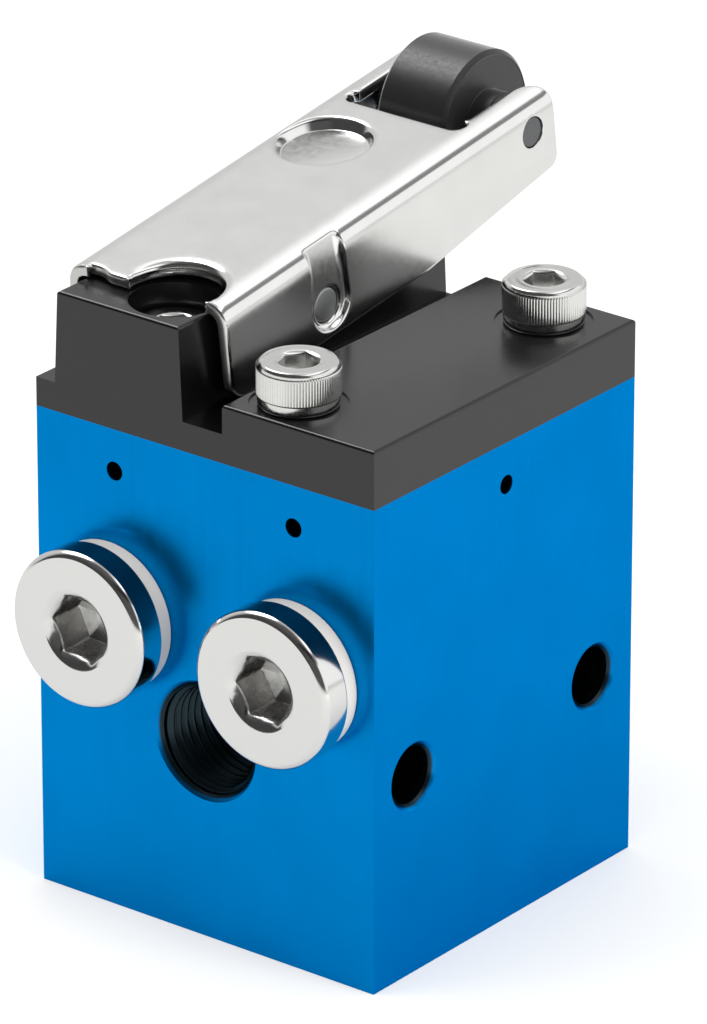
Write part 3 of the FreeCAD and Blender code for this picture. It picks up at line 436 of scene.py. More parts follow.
def black_moulding():
    """Glass-filled nylon moulding: near black, satin, with a fine eroded grain, drawn coarser than it is, so
    that it shows."""
    look = settings().housing
    material, add, place = start_material("black_nylon")
    grain = add("TexNoise", Vector=place, Scale=1 / look.grain, Detail=3.0)
    finish_material(add, grain, (0.2, 0.27), 0.002 * MM, 0.2, IOR=1.53,
                    Base_Color=clouded(add, place, look.colour, 1.35, 7 * MM))
    return material


def zinc_plate():
    """Bright zinc plating on cold-rolled sheet. The rolled faces blur what they mirror. The bends, which the
    folding tool rubbed smooth, are glossier. The torn metal of the sheared edges takes the plating dull. One
    side of the dimple's floor is painted darker and mottled, as painted shade."""
    look = settings().lever
    material, add, place = start_material("zinc_plated_steel")
    x, _, z = add("SeparateXYZ", add("NewGeometry", out="Normal"), out=None)
    facing = larger(add, x, z)
    centre = [*node_middle("pilot_plunger")[:2], node_box("pilot_plunger")[1][2]]
    far = add("VectorMath", place, centre, operation="DISTANCE", out="Value")
    rim, clear = 4.6 * MM, 5.0 * MM
    sheared = product(add, add("MapRange", facing, 0.42, 0.62, 1.0, 0.0), add("MapRange", far, rim, clear))

    # Painted shade: towards one side of the dimple's floor the colour turns to the darker grey, mottled by
    # specks
    painted_shade_side = (-0.87, 0.5, 0.0)
    start = np.dot(centre, painted_shade_side)
    lean = add("VectorMath", place, painted_shade_side, operation="DOT_PRODUCT", out="Value")
    floor = add("Math", far, look.dimple + 0.06 * MM, operation="LESS_THAN")
    specks = add("TexNoise", Vector=place, Scale=1 / (0.7 * MM), Detail=3.0)
    painted_dimple_shade = product(add, add("MapRange", lean, start - 2.4 * MM, start + 3.0 * MM), floor,
                   add("MapRange", specks, 0.3, 0.7, 0.55, 1.0))

    plated = clouded(add, place, look.colour, 0.95, 3 * MM, 3.0)
    plated = add("Mix", painted_dimple_shade, _6=plated, _7=look.painted_dimple_shade, **COLOURS)
    colour = add("Mix", sheared, _6=plated, _7=look.edge_colour, **COLOURS)
    rough = add("MapRange", facing, 0.93, 0.985, 0.12, 0.24)
    grain = add("TexNoise", Vector=place, Scale=1 / look.grain, Detail=3.0)
    for more in (product(add, sheared, 0.2), add("MapRange", grain, 0.3, 0.7, -0.02, 0.02)):
        rough = add("Math", rough, more, operation="ADD")
    shader = add("BsdfPrincipled", Base_Color=colour, Metallic=1.0, Roughness=rough,
                 Normal=add("Bump", Height=grain, Distance=0.002 * MM, Strength=0.3))
    add("OutputMaterial", Surface=shader, out=None)
    return material


def nickel_plate():
    """Turned brass under bright nickel: near mirror, with the rings of the turning tool on the face. In the
    socket the plating takes thin, dull and rougher, and deeper in it the colour is painted darker as painted
    shade; its countersink is uneven from the drill's chatter."""
    look = settings().plugs
    material, add, place = start_material("nickel_plated_brass")
    front = node_box("blanking_plug_right")[0][1]
    left, right = node_middle("blanking_plug_left"), node_middle("blanking_plug_right")
    x, y, z = add("SeparateXYZ", place, out=None)
    across = add("Math", x, (left[0] + right[0]) / 2, operation="SUBTRACT")
    flat = add("CombineXYZ", X=add("Math", across, operation="ABSOLUTE"), Z=z)
    centre = ((right[0] - left[0]) / 2, 0, right[2])
    radius = add("VectorMath", flat, centre, operation="DISTANCE", out="Value")
    # In the socket the plating is dull and rougher; deeper than the face its colour is also painted darker, as
    # painted shade
    socket = add("Math", radius, look.mouth + 0.05 * MM, operation="LESS_THAN")
    deep = add("MapRange", y, front + 0.3 * MM, front + 0.8 * MM)
    blotches = add("TexNoise", Vector=place, Scale=1 / (1.2 * MM), Detail=3.0)
    dull_and_shaded = product(add, socket, deep, add("MapRange", blotches, 0.3, 0.7, 0.6, 1.0))
    rings = add("TexNoise", Vector=add("CombineXYZ", X=radius), Scale=1 / look.turning, Detail=2.0)
    chatter = add("TexNoise", Vector=place, Scale=1 / (1.1 * MM), Detail=1.0)
    relief = add("Math", rings, product(add, chatter, socket, 30.0), operation="ADD")
    shader = add("BsdfPrincipled", Base_Color=add("Mix", dull_and_shaded, _6=look.colour, _7=look.dull, **COLOURS),
                 Metallic=1.0, Roughness=add("MapRange", dull_and_shaded, 0.0, 1.0, 0.12, 0.3),
                 Normal=add("Bump", Height=relief, Distance=0.002 * MM, Strength=0.4))
    add("OutputMaterial", Surface=shader, out=None)
    return material


def fine_material(name, colour, rough, feature, detail, depth, strength, **inputs):
    """One colour, with a fine unevenness in gloss and relief whose features have the given size. The real
    ones are finer, and are drawn as coarse as they need to be to show."""
    material, add, place = start_material(name)
    marks = add("TexNoise", Vector=place, Scale=1 / feature, Detail=detail)
    finish_material(add, marks, rough, depth, strength, Base_Color=colour, **inputs)
    return material


def acetal():
    """Turned black acetal: matte and slightly waxy."""
    return fine_material("black_acetal", settings().roller.colour, (0.34, 0.46), 0.3 * MM, 3.0, 0.004 * MM,
                         0.35, IOR=1.55, Sheen_Weight=0.8, Sheen_Roughness=0.3)


def metal(name, colour, *rough, feature=0.2 * MM):
    """Bare or plated metal with a fine unevenness in its gloss, named and coloured for what it is."""
    return fine_material(name, colour, rough, feature, 3.0, 0.003 * MM, 0.4, Metallic=1.0)


def plastic(name, colour, *rough, refraction):
    """Moulded plastic or rubber with a fine unevenness in its gloss."""
    return fine_material(name, colour, rough, 0.3 * MM, 2.0, 0.004 * MM, 0.4, IOR=refraction)


def thread_sleeve(mouth, axis, outer, inner, pitch, length, columns=72):
    """Closed sleeve lining a bore, with thread ridges on its inner side. The inner radius falls from root
    to crest and back once per pitch, as a triangle wave of height and angle with its tips cut off."""
    height = np.linspace(0, length, int(length / pitch * 12) + 1)
    angle = np.arange(columns) / columns
    phase = (height[:, None] / pitch + angle) % 1.0
    wave = np.clip(np.abs(phase - 0.5) * 2.6 - 0.3, 0, 1)
    wave *= np.clip(np.minimum(height, length - height) / pitch * 1.5, 0, 1)[:, None]
    root, wall = outer - 0.04 * MM, outer - 0.005 * MM
    rows = list(zip(root - wave * (root - inner), -height))
    return lathe([(wall, 0)] + rows + [(wall, -length)], columns, mouth, axis, closed=True)


class ROLLERVALVE_OT_block(bpy.types.Operator):
    """Blue block with broken edges, and the threads in its open ports and mounting holes"""

    bl_idname = "roller_valve.block"
    bl_label = "Block"

    def execute(self, context):
        look = settings().block
        material = anodised_aluminium()
        piece = add_piece("block", merged_copy("valve_body", 0.5), "valve", material,
                          ["valve_body"])
        add_bevel(piece, look.edge, 2)
        sleeves = []
        inset, tapped = 0.45 * MM, 9.0 * MM
        for mount in frame["record"]["mounts"]:
            place, axis, dims = np.array(mount["pos_m"]), np.array(mount["axis"]), mount["dims"]
            if mount["kind"] == "threaded_hole":
                outer = dims["r_mm"] * MM
                sleeves.append(thread_sleeve(place, axis, outer, outer - look.pipe_depth, look.pipe_pitch,
                                             dims["length_mm"] * MM))
            if mount["kind"] == "bolt_pattern":
                outer = dims["hole_r_mm"] * MM
                for side in (-1, 1):
                    mouth = place - inset * axis + (0, side * dims["spacing_x_mm"] / 2 * MM, 0)
                    sleeves.append(thread_sleeve(mouth, axis, outer, outer - look.screw_depth,
                                                 look.screw_pitch, tapped, 48))
        add_piece("port_threads", save_mesh("port_threads", *join(sleeves)), "valve",
                  material, [])
        return {"FINISHED"}


class ROLLERVALVE_OT_housing(bpy.types.Operator):
    """Black housing with rounded edges"""

    bl_idname = "roller_valve.housing"
    bl_label = "Housing"

    def execute(self, context):
        piece = add_piece("housing", merged_copy("actuator_housing", 0.5), "valve",
                          black_moulding(), ["actuator_housing"])
        add_bevel(piece, settings().housing.edge, 3)
        return {"FINISHED"}


def arc(centre, radius, start, end, spacing):
    """Points on an arc between two angles in degrees."""
    count = max(3, int(abs(math.radians(end - start)) * radius / spacing))
    angle = np.radians(np.linspace(start, end, count + 1))
    return np.array(centre) + radius * np.stack([np.cos(angle), np.sin(angle)], 1)


def evenly(outline, spacing):
    """Closed outline with points added on its long sides, so that none is longer than the spacing."""
    following = np.roll(outline, -1, axis=0)
    length = np.linalg.norm(following - outline, axis=1)
    made = [a + (b - a) * np.linspace(0, 1, max(1, math.ceil(d / spacing)), endpoint=False)[:, None]
            for a, b, d in zip(outline, following, length) if d > 1e-7]
    return np.concatenate(made)


def outward(outline):
    """Unit vector out of the outline's left-hand area at each point: the mean of the neighbouring sides'
    normals."""
    side = np.roll(outline, -1, axis=0) - outline
    side /= np.linalg.norm(side, axis=1)[:, None]
    normal = np.stack([side[:, 1], -side[:, 0]], 1)
    both = normal + np.roll(normal, 1, axis=0)
    return both / np.linalg.norm(both, axis=1)[:, None]


def smooth_step(value):
    """0 below -1, 1 above 1, and an even S between them."""
    share = np.clip(value / 2 + 0.5, 0, 1)
    return share * share * (3 - 2 * share)


def shoulder_drop(reach, radius, wall, depth):
    """Drop at a distance in from a dimple's rim: a round shoulder, then a straight wall, then the floor."""
    turned = radius * math.sin(wall)
    shoulder = radius - np.sqrt(radius ** 2 - np.clip(reach, 0, turned) ** 2)
    return np.minimum(shoulder + np.maximum(reach - turned, 0) * math.tan(wall), depth)


class Blank:
    """The lever's sheet: its flat outline and how it is folded and pressed.

    A place on the blank is given by how far it lies across from the middle line, measured over the outside
    of the folded sheet, and how far along from the pivot. Folding keeps both: the web is flat, each bend
    turns by a right angle as a smooth step of the distance round it, and the flanges hang straight down
    from it."""

    def __init__(self):
        look = settings().lever
        pivot = node_middle("pivot_pin")
        roller = node_middle("roller_pin") - pivot
        low, high = node_box("lever")
        self.look = look
        self.pivot = pivot
        self.half = (high[0] - low[0]) / 2
        # Places on the lever are given along its web and up from it, both from the pivot.
        self.roller_along, self.roller_up = 27.92 * MM, 3.3 * MM
        self.tilt = math.atan2(roller[2], roller[1]) - math.atan2(self.roller_up, self.roller_along)
        self.top = 6.25 * MM
        share = np.linspace(0, 1, 201)
        turn = math.pi / 2 * share ** 2 * (3 - 2 * share)
        step = look.bend / 200
        self.round = share * look.bend
        self.bend_out = np.concatenate([[0], np.cumsum((np.cos(turn[1:]) + np.cos(turn[:-1])) / 2 * step)])
        self.bend_down = np.concatenate([[0], np.cumsum((np.sin(turn[1:]) + np.sin(turn[:-1])) / 2 * step)])
        self.flat = self.half - self.bend_out[-1]
        # The sheet's two ends, how low its flanges hang and where they rise, and the roller slot.
        self.front, self.rear = -13.35 * MM, 31.1 * MM
        self.drop, self.rear_drop, self.taper = 2.8 * MM, 1.1 * MM, 12.9 * MM
        self.slot_half, self.slot_start = 5.55 * MM, 20.6 * MM
        shoulder = look.shoulder * (1 - math.cos(look.dimple_wall))
        self.foot = look.shoulder * math.sin(look.dimple_wall) + (
            look.dimple_depth - shoulder) / math.tan(look.dimple_wall)
        self.rim = look.dimple + self.foot
        dimple = node_middle("pilot_plunger") - pivot
        floor = 0.9 * MM
        under = self.top - look.dimple_depth - floor
        self.dimple = np.array([dimple[0], (dimple[1] + under * math.sin(self.tilt)) / math.cos(self.tilt)])
        self.notch = np.array([2.3 * MM, -12.44 * MM])
        self.pad_half = look.pad_width / 2
        self.pad_bottom = -2.0 * MM + self.pad_half

    def over(self, height):
        """How far across a point of the flange lies that stands at this height."""
        return self.flat + self.look.bend + self.top - self.bend_down[-1] - height

    def outline(self):
        """The blank's edge, anticlockwise with across to the right and along upwards."""
        look = self.look
        step = look.mesh * 0.6
        foot, rear_foot = self.over(-self.drop), self.over(-self.rear_drop)
        slot, relief = self.slot_half, look.relief
        start = self.slot_start
        front = self.front
        cut = math.degrees(math.asin((front - self.notch[1]) / look.notch))
        toe, heel, tip = 2 * MM, 1.2 * MM, 2.6 * MM
        right = [
            arc((foot - toe, front + toe), toe, -90, 0, step),
            [(foot, self.taper)],
            arc((rear_foot - heel, self.rear - heel), heel, 5, 90, step),
            arc((slot + tip, self.rear - tip), tip, 90, 180, step),
            arc((slot - relief / 2, start + relief), relief, 60, -90, step)[:-1],
        ]
        left = [np.array(part) * (-1, 1) for part in right[::-1]]
        left = [part[::-1] for part in left]
        share = np.concatenate([[0, 0.01], np.linspace(0.05, 1, 15)])
        fade = 0.5 + 0.5 * np.cos(math.pi * np.clip(share * 1.4 - 0.4, 0, 1))
        fade[0] = 0
        relief_edge = np.stack([(2.7 * share - 6.0) * MM, front + 0.55 * MM * fade], 1)
        notch = arc(self.notch, look.notch, 180 - cut, cut, step)
        parts = right + left + [relief_edge] + [notch]
        return np.concatenate([np.array(part, float) for part in parts])

    def holes(self):
        """Pivot and roller pin holes in both flanges, clockwise."""
        step = self.look.mesh * 0.5
        pivot_hole, roller_hole = 1.56 * MM, 1.37 * MM
        holes = ((0, 0, pivot_hole), (self.roller_along, self.roller_up, roller_hole))
        return [arc((side * self.over(height), along), radius, 360, 0, step)[:-1]
                for side in (-1, 1) for along, height, radius in holes]

    def fold(self, across, along, depth):
        """Place of a point of the sheet: on its outer face where depth is 0 and on its inner face where it
        is 1. The dimple sinks by a round shoulder and a straight wall. Inside a U round the pivot each pad
        is pressed to a plane that leans inwards with the square of the height, by a smooth step of the
        distance from that U. The notch's rim sinks with the square of how near it is, most in the middle of
        the notch."""
        look = self.look
        # On the inner face the pads are larger, the dimple is wider and its floor sinks less, by this much.
        pad_grow, dimple_grow, floor_thin = 0.3 * MM, 0.5 * MM, 0.1 * MM
        lean_start = 1.5 * MM
        reach = np.abs(across)
        past = np.clip(reach - self.flat, 0, look.bend)
        angle = math.pi / 2 * smooth_step(past / look.bend * 2 - 1)
        hang = np.maximum(reach - self.flat - look.bend, 0)
        out = np.minimum(reach, self.flat) + np.interp(past, self.round, self.bend_out)
        out = out - depth * look.sheet * np.sin(angle)
        up = self.top - np.interp(past, self.round, self.bend_down) - hang
        up = up - depth * look.sheet * np.cos(angle)
        narrow = 1 + 0.03 * np.clip(up / MM, 0, 4)
        pad = np.hypot(along * narrow, np.minimum(up - self.pad_bottom, 0)) - self.pad_half - depth * pad_grow
        lean = look.pad_lean * np.maximum(up - lean_start, 0) ** 2
        limit = self.half - look.pad_depth - lean - depth * look.sheet
        out = out - smooth_step(-pad / look.press) * np.maximum(out - limit, 0)
        far = np.hypot(across - self.dimple[0], along - self.dimple[1])
        up = up - shoulder_drop(self.rim + depth * dimple_grow - far, look.shoulder, look.dimple_wall,
                                look.dimple_depth - floor_thin * depth)
        rim = (np.hypot(across - self.notch[0], along - self.notch[1]) - look.notch) / look.notch_reach
        middle = np.sqrt(np.clip((along - self.notch[1]) / look.notch, 0, 1))
        up = up - look.notch_drop * middle * np.clip(1 - rim, 0, 1) ** 2
        local = np.stack([np.sign(across) * out, along, up], -1)
        turned = local.copy()
        turned[..., 1] = local[..., 1] * math.cos(self.tilt) - local[..., 2] * math.sin(self.tilt)
        turned[..., 2] = local[..., 1] * math.sin(self.tilt) + local[..., 2] * math.cos(self.tilt)
        return turned + self.pivot

    def inner_points(self, loops):
        """Points to fill the blank: an even lattice, finer over the bends, and rings along each pressed
        step."""
        look = self.look
        step = look.mesh
        wide = self.over(-self.drop)
        bend = self.flat + look.bend
        across = np.concatenate([np.arange(0, self.flat, step), np.linspace(self.flat, bend, 19),
                                 np.arange(bend + step, wide, step)])
        across = np.concatenate([-across[:0:-1], across])
        along = np.arange(self.front, self.rear, step)
        lattice = np.stack(np.meshgrid(across, along), -1).reshape(-1, 2)
        rings = [arc(self.notch, look.notch + reach * MM, 5, 175, step * 0.6)
                 for reach in (0.48, 0.62, 0.78, 0.98)]
        # How far in from the dimple's rim each ring lies: on its shoulder, and at the wall's foot.
        steps = np.array([-0.5, -0.35, -0.2, -0.08, 0.04, 0.13, 0.22, 0.3, 0.38, 0.46, 0.6]) * MM
        steps = np.concatenate([steps, self.foot + np.array([-0.03, 0, 0.03]) * MM])
        angle = np.arange(120) * TURN / 120
        spoke = np.stack([np.cos(angle), np.sin(angle)], 1)
        rings += [self.dimple + (self.rim - reach) * spoke for reach in steps]
        for share in np.linspace(-1.2, 1.2, 7):
            radius = self.pad_half + share * look.press
            for side in (-1, 1):
                centre = (self.over(self.pad_bottom) * side, 0)
                start = -90 if side > 0 else 90
                rings.append(arc(centre, radius, start, start + 180, step * 0.6))
                straight = np.arange(self.flat + 0.6 * MM, abs(centre[0]), step * 0.6)
                for edge in (-radius, radius):
                    rings.append(np.stack([straight * side, np.full(len(straight), edge)], 1))
        rings = np.concatenate(rings)
        near = np.zeros(len(lattice), bool)
        for start in range(0, len(rings), 400):
            gap = lattice[:, None] - rings[None, start:start + 400]
            near |= (np.hypot(gap[..., 0], gap[..., 1]) < step * 0.35).any(1)
        points = np.concatenate([lattice[~near], rings])
        keep = inside(points, loops[0])
        for hole in loops[1:]:
            keep &= ~inside(points, hole)
        edge = np.concatenate(loops)
        clear = np.ones(len(points), bool)
        for start in range(0, len(edge), 400):
            gap = points[:, None] - edge[None, start:start + 400]
            clear &= (np.hypot(gap[..., 0], gap[..., 1]) > step * 0.3).all(1)
        return points[keep & clear]


def inside(points, outline):
    """True for the points within a closed outline: those with an odd number of its sides to their right."""
    a, b = outline, np.roll(outline, -1, axis=0)
    result = np.zeros(len(points), bool)
    for (ax, ay), (bx, by) in zip(a, b):
        if ay == by:
            continue
        crosses = (points[:, 1] < max(ay, by)) & (points[:, 1] >= min(ay, by))
        at = ax + (points[:, 1] - ay) / (by - ay) * (bx - ax)
        result ^= crosses & (points[:, 0] < at)
    return result


def roll_width(line, most):
    """Width of the rolled edge at each point of an outline: the full width, or less near a sharp corner."""
    ahead, behind = np.roll(line, -1, axis=0) - line, line - np.roll(line, 1, axis=0)
    turn = ahead[:, 1] * behind[:, 0] - ahead[:, 0] * behind[:, 1]
    turn /= np.linalg.norm(ahead, axis=1) * np.linalg.norm(behind, axis=1)
    corners = line[turn > 0.5]
    if not len(corners):
        return np.full((len(line), 1), most)
    far = np.linalg.norm(line[:, None] - corners[None], axis=2).min(1)
    return np.clip(far * 0.8, 0.06 * MM, most)[:, None]


def sheet_surface(blank):
    """Closed surface of the folded sheet. Both faces are the same triangles of the blank, and a strip round
    each edge turns between them, through a quarter circle as wide as the rolled edge outside and a small
    one inside."""
    look = blank.look
    outlines = [evenly(blank.outline(), look.mesh * 0.6)] + blank.holes()
    normals = [outward(line) for line in outlines]
    rolls = [look.roll] + 2 * [look.hole_roll, look.burr]
    widths = [roll_width(line, most) for line, most in zip(outlines, rolls)]
    loops = [line - normal * width for line, normal, width in zip(outlines, normals, widths)]
    fill = blank.inner_points(loops)
    flat = np.concatenate(loops + [fill])
    starts = np.cumsum([0] + [len(line) for line in loops])
    borders = [(int(start + k), int(start + (k + 1) % len(line)))
               for start, line in zip(starts, loops) for k in range(len(line))]
    scale = 1 / MM  # the triangles are worked out in millimetres
    found = delaunay_2d_cdt([Vector(p) for p in (flat * scale).tolist()], borders, [], 0, 1e-7)
    places = np.array([tuple(p) for p in found[0]]) / scale
    triangles = np.array([f for f in found[2] if len(f) == 3])
    middles = places[triangles].mean(1)
    keep = inside(middles, loops[0])
    for hole in loops[1:]:
        keep &= ~inside(middles, hole)
    triangles = triangles[keep]
    a, b, c = (places[triangles[:, k]] for k in range(3))
    turn = (b[:, 0] - a[:, 0]) * (c[:, 1] - a[:, 1]) - (b[:, 1] - a[:, 1]) * (c[:, 0] - a[:, 0])
    triangles = np.where((turn > 0)[:, None], triangles, triangles[:, ::-1])
    count = len(places)
    points = [blank.fold(places[:, 0], places[:, 1], 0.0), blank.fold(places[:, 0], places[:, 1], 1.0)]
    faces = [triangles, triangles[:, ::-1] + count]
    origin = {}
    for number, source in enumerate(found[3]):
        for item in source:
            origin[item] = number
    total = 2 * count
    outer, inner = np.radians([18, 36, 54, 72, 90]), np.radians([90, 135, 180])
    for start, line, normal, width in zip(starts, loops, normals, widths):
        ring = np.array([origin[int(start + k)] for k in range(len(line))])
        rows = [ring]
        small = np.minimum(width, look.burr)
        steps = [(width * math.sin(t), width * (1 - math.cos(t))) for t in outer]
        steps += [(width - small + small * math.sin(t), look.sheet - small * (1 + math.cos(t)))
                  for t in inner]
        for out, down in steps:
            at = line + normal * out
            points.append(blank.fold(at[:, 0], at[:, 1], down[:, 0] / look.sheet))
            rows.append(np.arange(total, total + len(line)))
            total += len(line)
        rows.append(ring + count)
        rows = np.array(rows)
        upper, lower = rows[:-1], rows[1:]
        upper_next, lower_next = np.roll(upper, -1, axis=1), np.roll(lower, -1, axis=1)
        faces.append(np.stack([upper, lower, lower_next, upper_next], -1).reshape(-1, 4))
    return np.concatenate(points), faces


class ROLLERVALVE_OT_lever(bpy.types.Operator):
    """Stamped lever, folded from its blank"""

    bl_idname = "roller_valve.lever"
    bl_label = "Lever"

    def execute(self, context):
        mesh = save_mesh("stamped_lever", *sheet_surface(Blank()))
        add_piece("stamped_lever", mesh, "lever", zinc_plate(), ["lever"], even=False)
        return {"FINISHED"}


def pin_surface(node, edge):
    """Plain pin with chamfered ends along X, the size of its CAD node."""
    low, high = node_box(node)
    radius, half = (high[2] - low[2]) / 2, (high[0] - low[0]) / 2
    profile = rounded([(0, -half), (radius, -half), (radius, half), (0, half)], [0, edge, edge, 0])
    return lathe(profile, 64, (low + high) / 2, (1, 0, 0))


class ROLLERVALVE_OT_roller(bpy.types.Operator):
    """Roller with dished sides, and the two pins"""

    bl_idname = "roller_valve.roller"
    bl_label = "Roller and pins"

    def execute(self, context):
        look = settings().roller
        low, high = node_box("roller")
        radius, hub_half = (high[2] - low[2]) / 2, (high[0] - low[0]) / 2
        rim_half, hub, bore = 3.6 * MM, 2.7 * MM, 1.4 * MM
        dish = rim_half - look.dish
        inner = radius - look.chamfer
        edge = rim_half - look.chamfer
        corners = [
            (bore, -hub_half), (hub, -hub_half), (hub, -dish), (inner - look.dish, -dish), (inner, -rim_half),
            (radius, -edge), (radius, edge), (inner, rim_half), (inner - look.dish, dish), (hub, dish),
            (hub, hub_half), (bore, hub_half),
        ]
        small = 0.05 * MM
        radii = [0, small, 2 * small, small, small, 2 * small, 2 * small, small, small, 2 * small, small, 0]
        surface = lathe(rounded(corners, radii), 96, (low + high) / 2, (1, 0, 0), closed=True)
        add_piece("black_roller", save_mesh("black_roller", *surface), "roller", acetal(),
                  ["roller"])
        # Ground steel: an even grey that blurs what it mirrors.
        pins = (("pivot_pin", "valve", look.pivot_colour), ("roller_pin", "lever", look.pin_colour))
        for node, body, colour in pins:
            steel = metal(node + "_ground_steel", colour, 0.42, 0.52)
            add_piece(node + "_steel", save_mesh(node, *pin_surface(node, 0.22 * MM)), body,
                      steel, [node])
        return {"FINISHED"}


def screw_surface(place, look, turned):
    """Socket head cap screw standing on its seat. Every row goes once round: the knurl's rows swing in and
    out as a rounded wave of the angle, and the socket's rows follow a hexagon."""
    columns = look.knurls * 8
    angle = np.arange(columns) * TURN / columns
    radius, height, shank, length = SCREW_RADIUS, look.head, 1.73 * MM, 12.0 * MM
    wave = np.abs(np.sin(angle * look.knurls / 2)) ** 0.7
    ridge = radius - look.knurl_depth * (1 - wave)
    foot, groove, top = radius - 0.1 * MM, radius - 0.09 * MM, radius - look.chamfer
    knurl_low, knurl_high = look.foot, height - look.chamfer * 1.1
    socket, floor = hexagon(look.socket, columns, turned), height - look.socket_depth
    mouth = look.socket / 2 / math.cos(math.pi / 6) + 0.12 * MM
    rows = [
        (0, -length), (shank * 0.8, -length), (shank, -length + 0.4 * MM), (shank, -0.06 * MM), (shank, 0),
        (radius - 0.35 * MM, 0), (radius - 0.18 * MM, 0.08 * MM), (foot, 0.25 * MM), (foot, 0.3 * MM),
        (foot, knurl_low - 0.05 * MM), (foot, knurl_low),
        (ridge, knurl_low + 0.06 * MM), (ridge, knurl_low + 0.12 * MM),
        (ridge, knurl_high - 0.11 * MM), (ridge, knurl_high - 0.05 * MM),
        (np.minimum(ridge, groove), knurl_high), (groove, knurl_high + 0.04 * MM),
        (radius - 0.02 * MM, knurl_high + 0.08 * MM), (top + 0.05 * MM, height - 0.05 * MM),
        (top + 0.01 * MM, height - 0.015 * MM), (top - 0.04 * MM, height),
        (mouth + 0.05 * MM, height), (mouth, height - 0.02 * MM),
        (np.minimum(socket, mouth), height - 0.22 * MM), (socket, height - 0.3 * MM),
        (socket, floor + 0.05 * MM), (socket * 0.97, floor), (socket * 0.6, floor - 0.1 * MM),
        (0, floor - 0.6 * MM),
    ]
    return lathe(rows, columns, place, (0, 0, 1))


class ROLLERVALVE_OT_screws(bpy.types.Operator):
    """Three knurled cap screws"""

    bl_idname = "roller_valve.screws"
    bl_label = "Cap screws"

    def execute(self, context):
        look = settings().screws
        low, high = node_box("cap_screws")
        seat = high[2] - look.head
        left, right = low[0] + SCREW_RADIUS, high[0] - SCREW_RADIUS
        front, rear = low[1] + SCREW_RADIUS, high[1] - SCREW_RADIUS
        places = [(left, front, seat), (-left, front, seat), (right, rear, seat)]
        parts = [screw_surface(np.array(p), look, math.radians(t)) for p, t in zip(places, (12, 20, 8))]
        # Steel under bright plating: nearly a mirror.
        steel = metal("plated_screw_steel", look.colour, 0.12, 0.22)
        add_piece("knurled_screws", save_mesh("knurled_screws", *join(parts)), "valve", steel,
                  ["cap_screws"])
        return {"FINISHED"}


def plug_surface(node, look, turned):
    """Blanking plug: a turned head and shank, whose socket rows blend from the round countersink to a
    hexagon and end in a drill point."""
    columns = 144
    low, high = node_box(node)
    radius, length = (high[2] - low[2]) / 2, high[1] - low[1]
    shank, head = 4.81 * MM, look.head
    centre = np.array([(low[0] + high[0]) / 2, low[1], (low[2] + high[2]) / 2])
    socket, depth = hexagon(look.socket, columns, turned), look.socket_depth
    face = radius - look.chamfer
    soft = 0.08 * MM
    rows = [
        (0, length), (shank * 0.9, length), (shank, length - 0.5 * MM), (shank, head + soft), (shank, head),
        (radius - 0.2 * MM, head), (radius - soft, head - soft), (radius, head - 2 * soft),
        (radius, head - 3 * soft), (radius, look.chamfer + 2 * soft), (radius, look.chamfer + soft),
    ]
    rows += [(face + look.chamfer * math.sin(t) ** 1.4, look.chamfer * (1 - math.cos(t) ** 1.4))
             for t in np.radians(np.linspace(90, 0, 13))]
    rows += [
        (face - 2 * soft, 0), (look.mouth + 2 * soft, 0), (look.mouth + 0.04 * MM, 0.01 * MM),
        (look.mouth, 0.06 * MM), (look.mouth - 0.06 * MM, 0.07 * MM),
        (np.maximum(socket, look.mouth - 0.55 * MM), 0.5 * MM), (np.maximum(socket, 2.55 * MM), 0.75 * MM),
        (socket, 0.95 * MM), (socket, depth - 0.1 * MM), (socket * 0.96, depth),
        (1.1 * MM, depth + 0.05 * MM), (0.3 * MM, depth + 0.35 * MM), (0, depth + 0.45 * MM),
    ]
    return lathe([(radius, -height) for radius, height in rows], columns, centre, (0, -1, 0))


def seal_surface(node):
    """Flat ring with rounded corners, the size of its CAD node, round the Y axis."""
    low, high = node_box(node)
    radius, thick = (high[2] - low[2]) / 2, high[1] - low[1]
    bore, soft = 4.92 * MM, 0.15 * MM
    corners = [(bore, 0), (bore, thick), (radius, thick), (radius, 0), (bore, 0)]
    profile = rounded(corners, [0, soft, soft, soft, 0])[:-1]
    return lathe(profile, 96, (low + high) / 2 + (0, thick / 2, 0), (0, -1, 0), closed=True)


class ROLLERVALVE_OT_plugs(bpy.types.Operator):
    """Two blanking plugs with their flat seals"""

    bl_idname = "roller_valve.plugs"
    bl_label = "Blanking plugs"

    def execute(self, context):
        look = settings().plugs
        nickel = nickel_plate()
        # Moulded nylon: white and satin.
        nylon = plastic("white_nylon", look.seal_colour, 0.35, 0.5, refraction=1.53)
        for name, turned in (("left", 26), ("right", 31)):
            node = "blanking_plug_" + name
            mesh = save_mesh(node, *plug_surface(node, look, math.radians(turned)))
            add_piece("nickel_plug_" + name, mesh, "valve", nickel, [node])
            node = "plug_seal_" + name
            mesh = save_mesh(node, *seal_surface(node))
            add_piece("white_seal_" + name, mesh, "valve", nylon, [node])
        return {"FINISHED"}


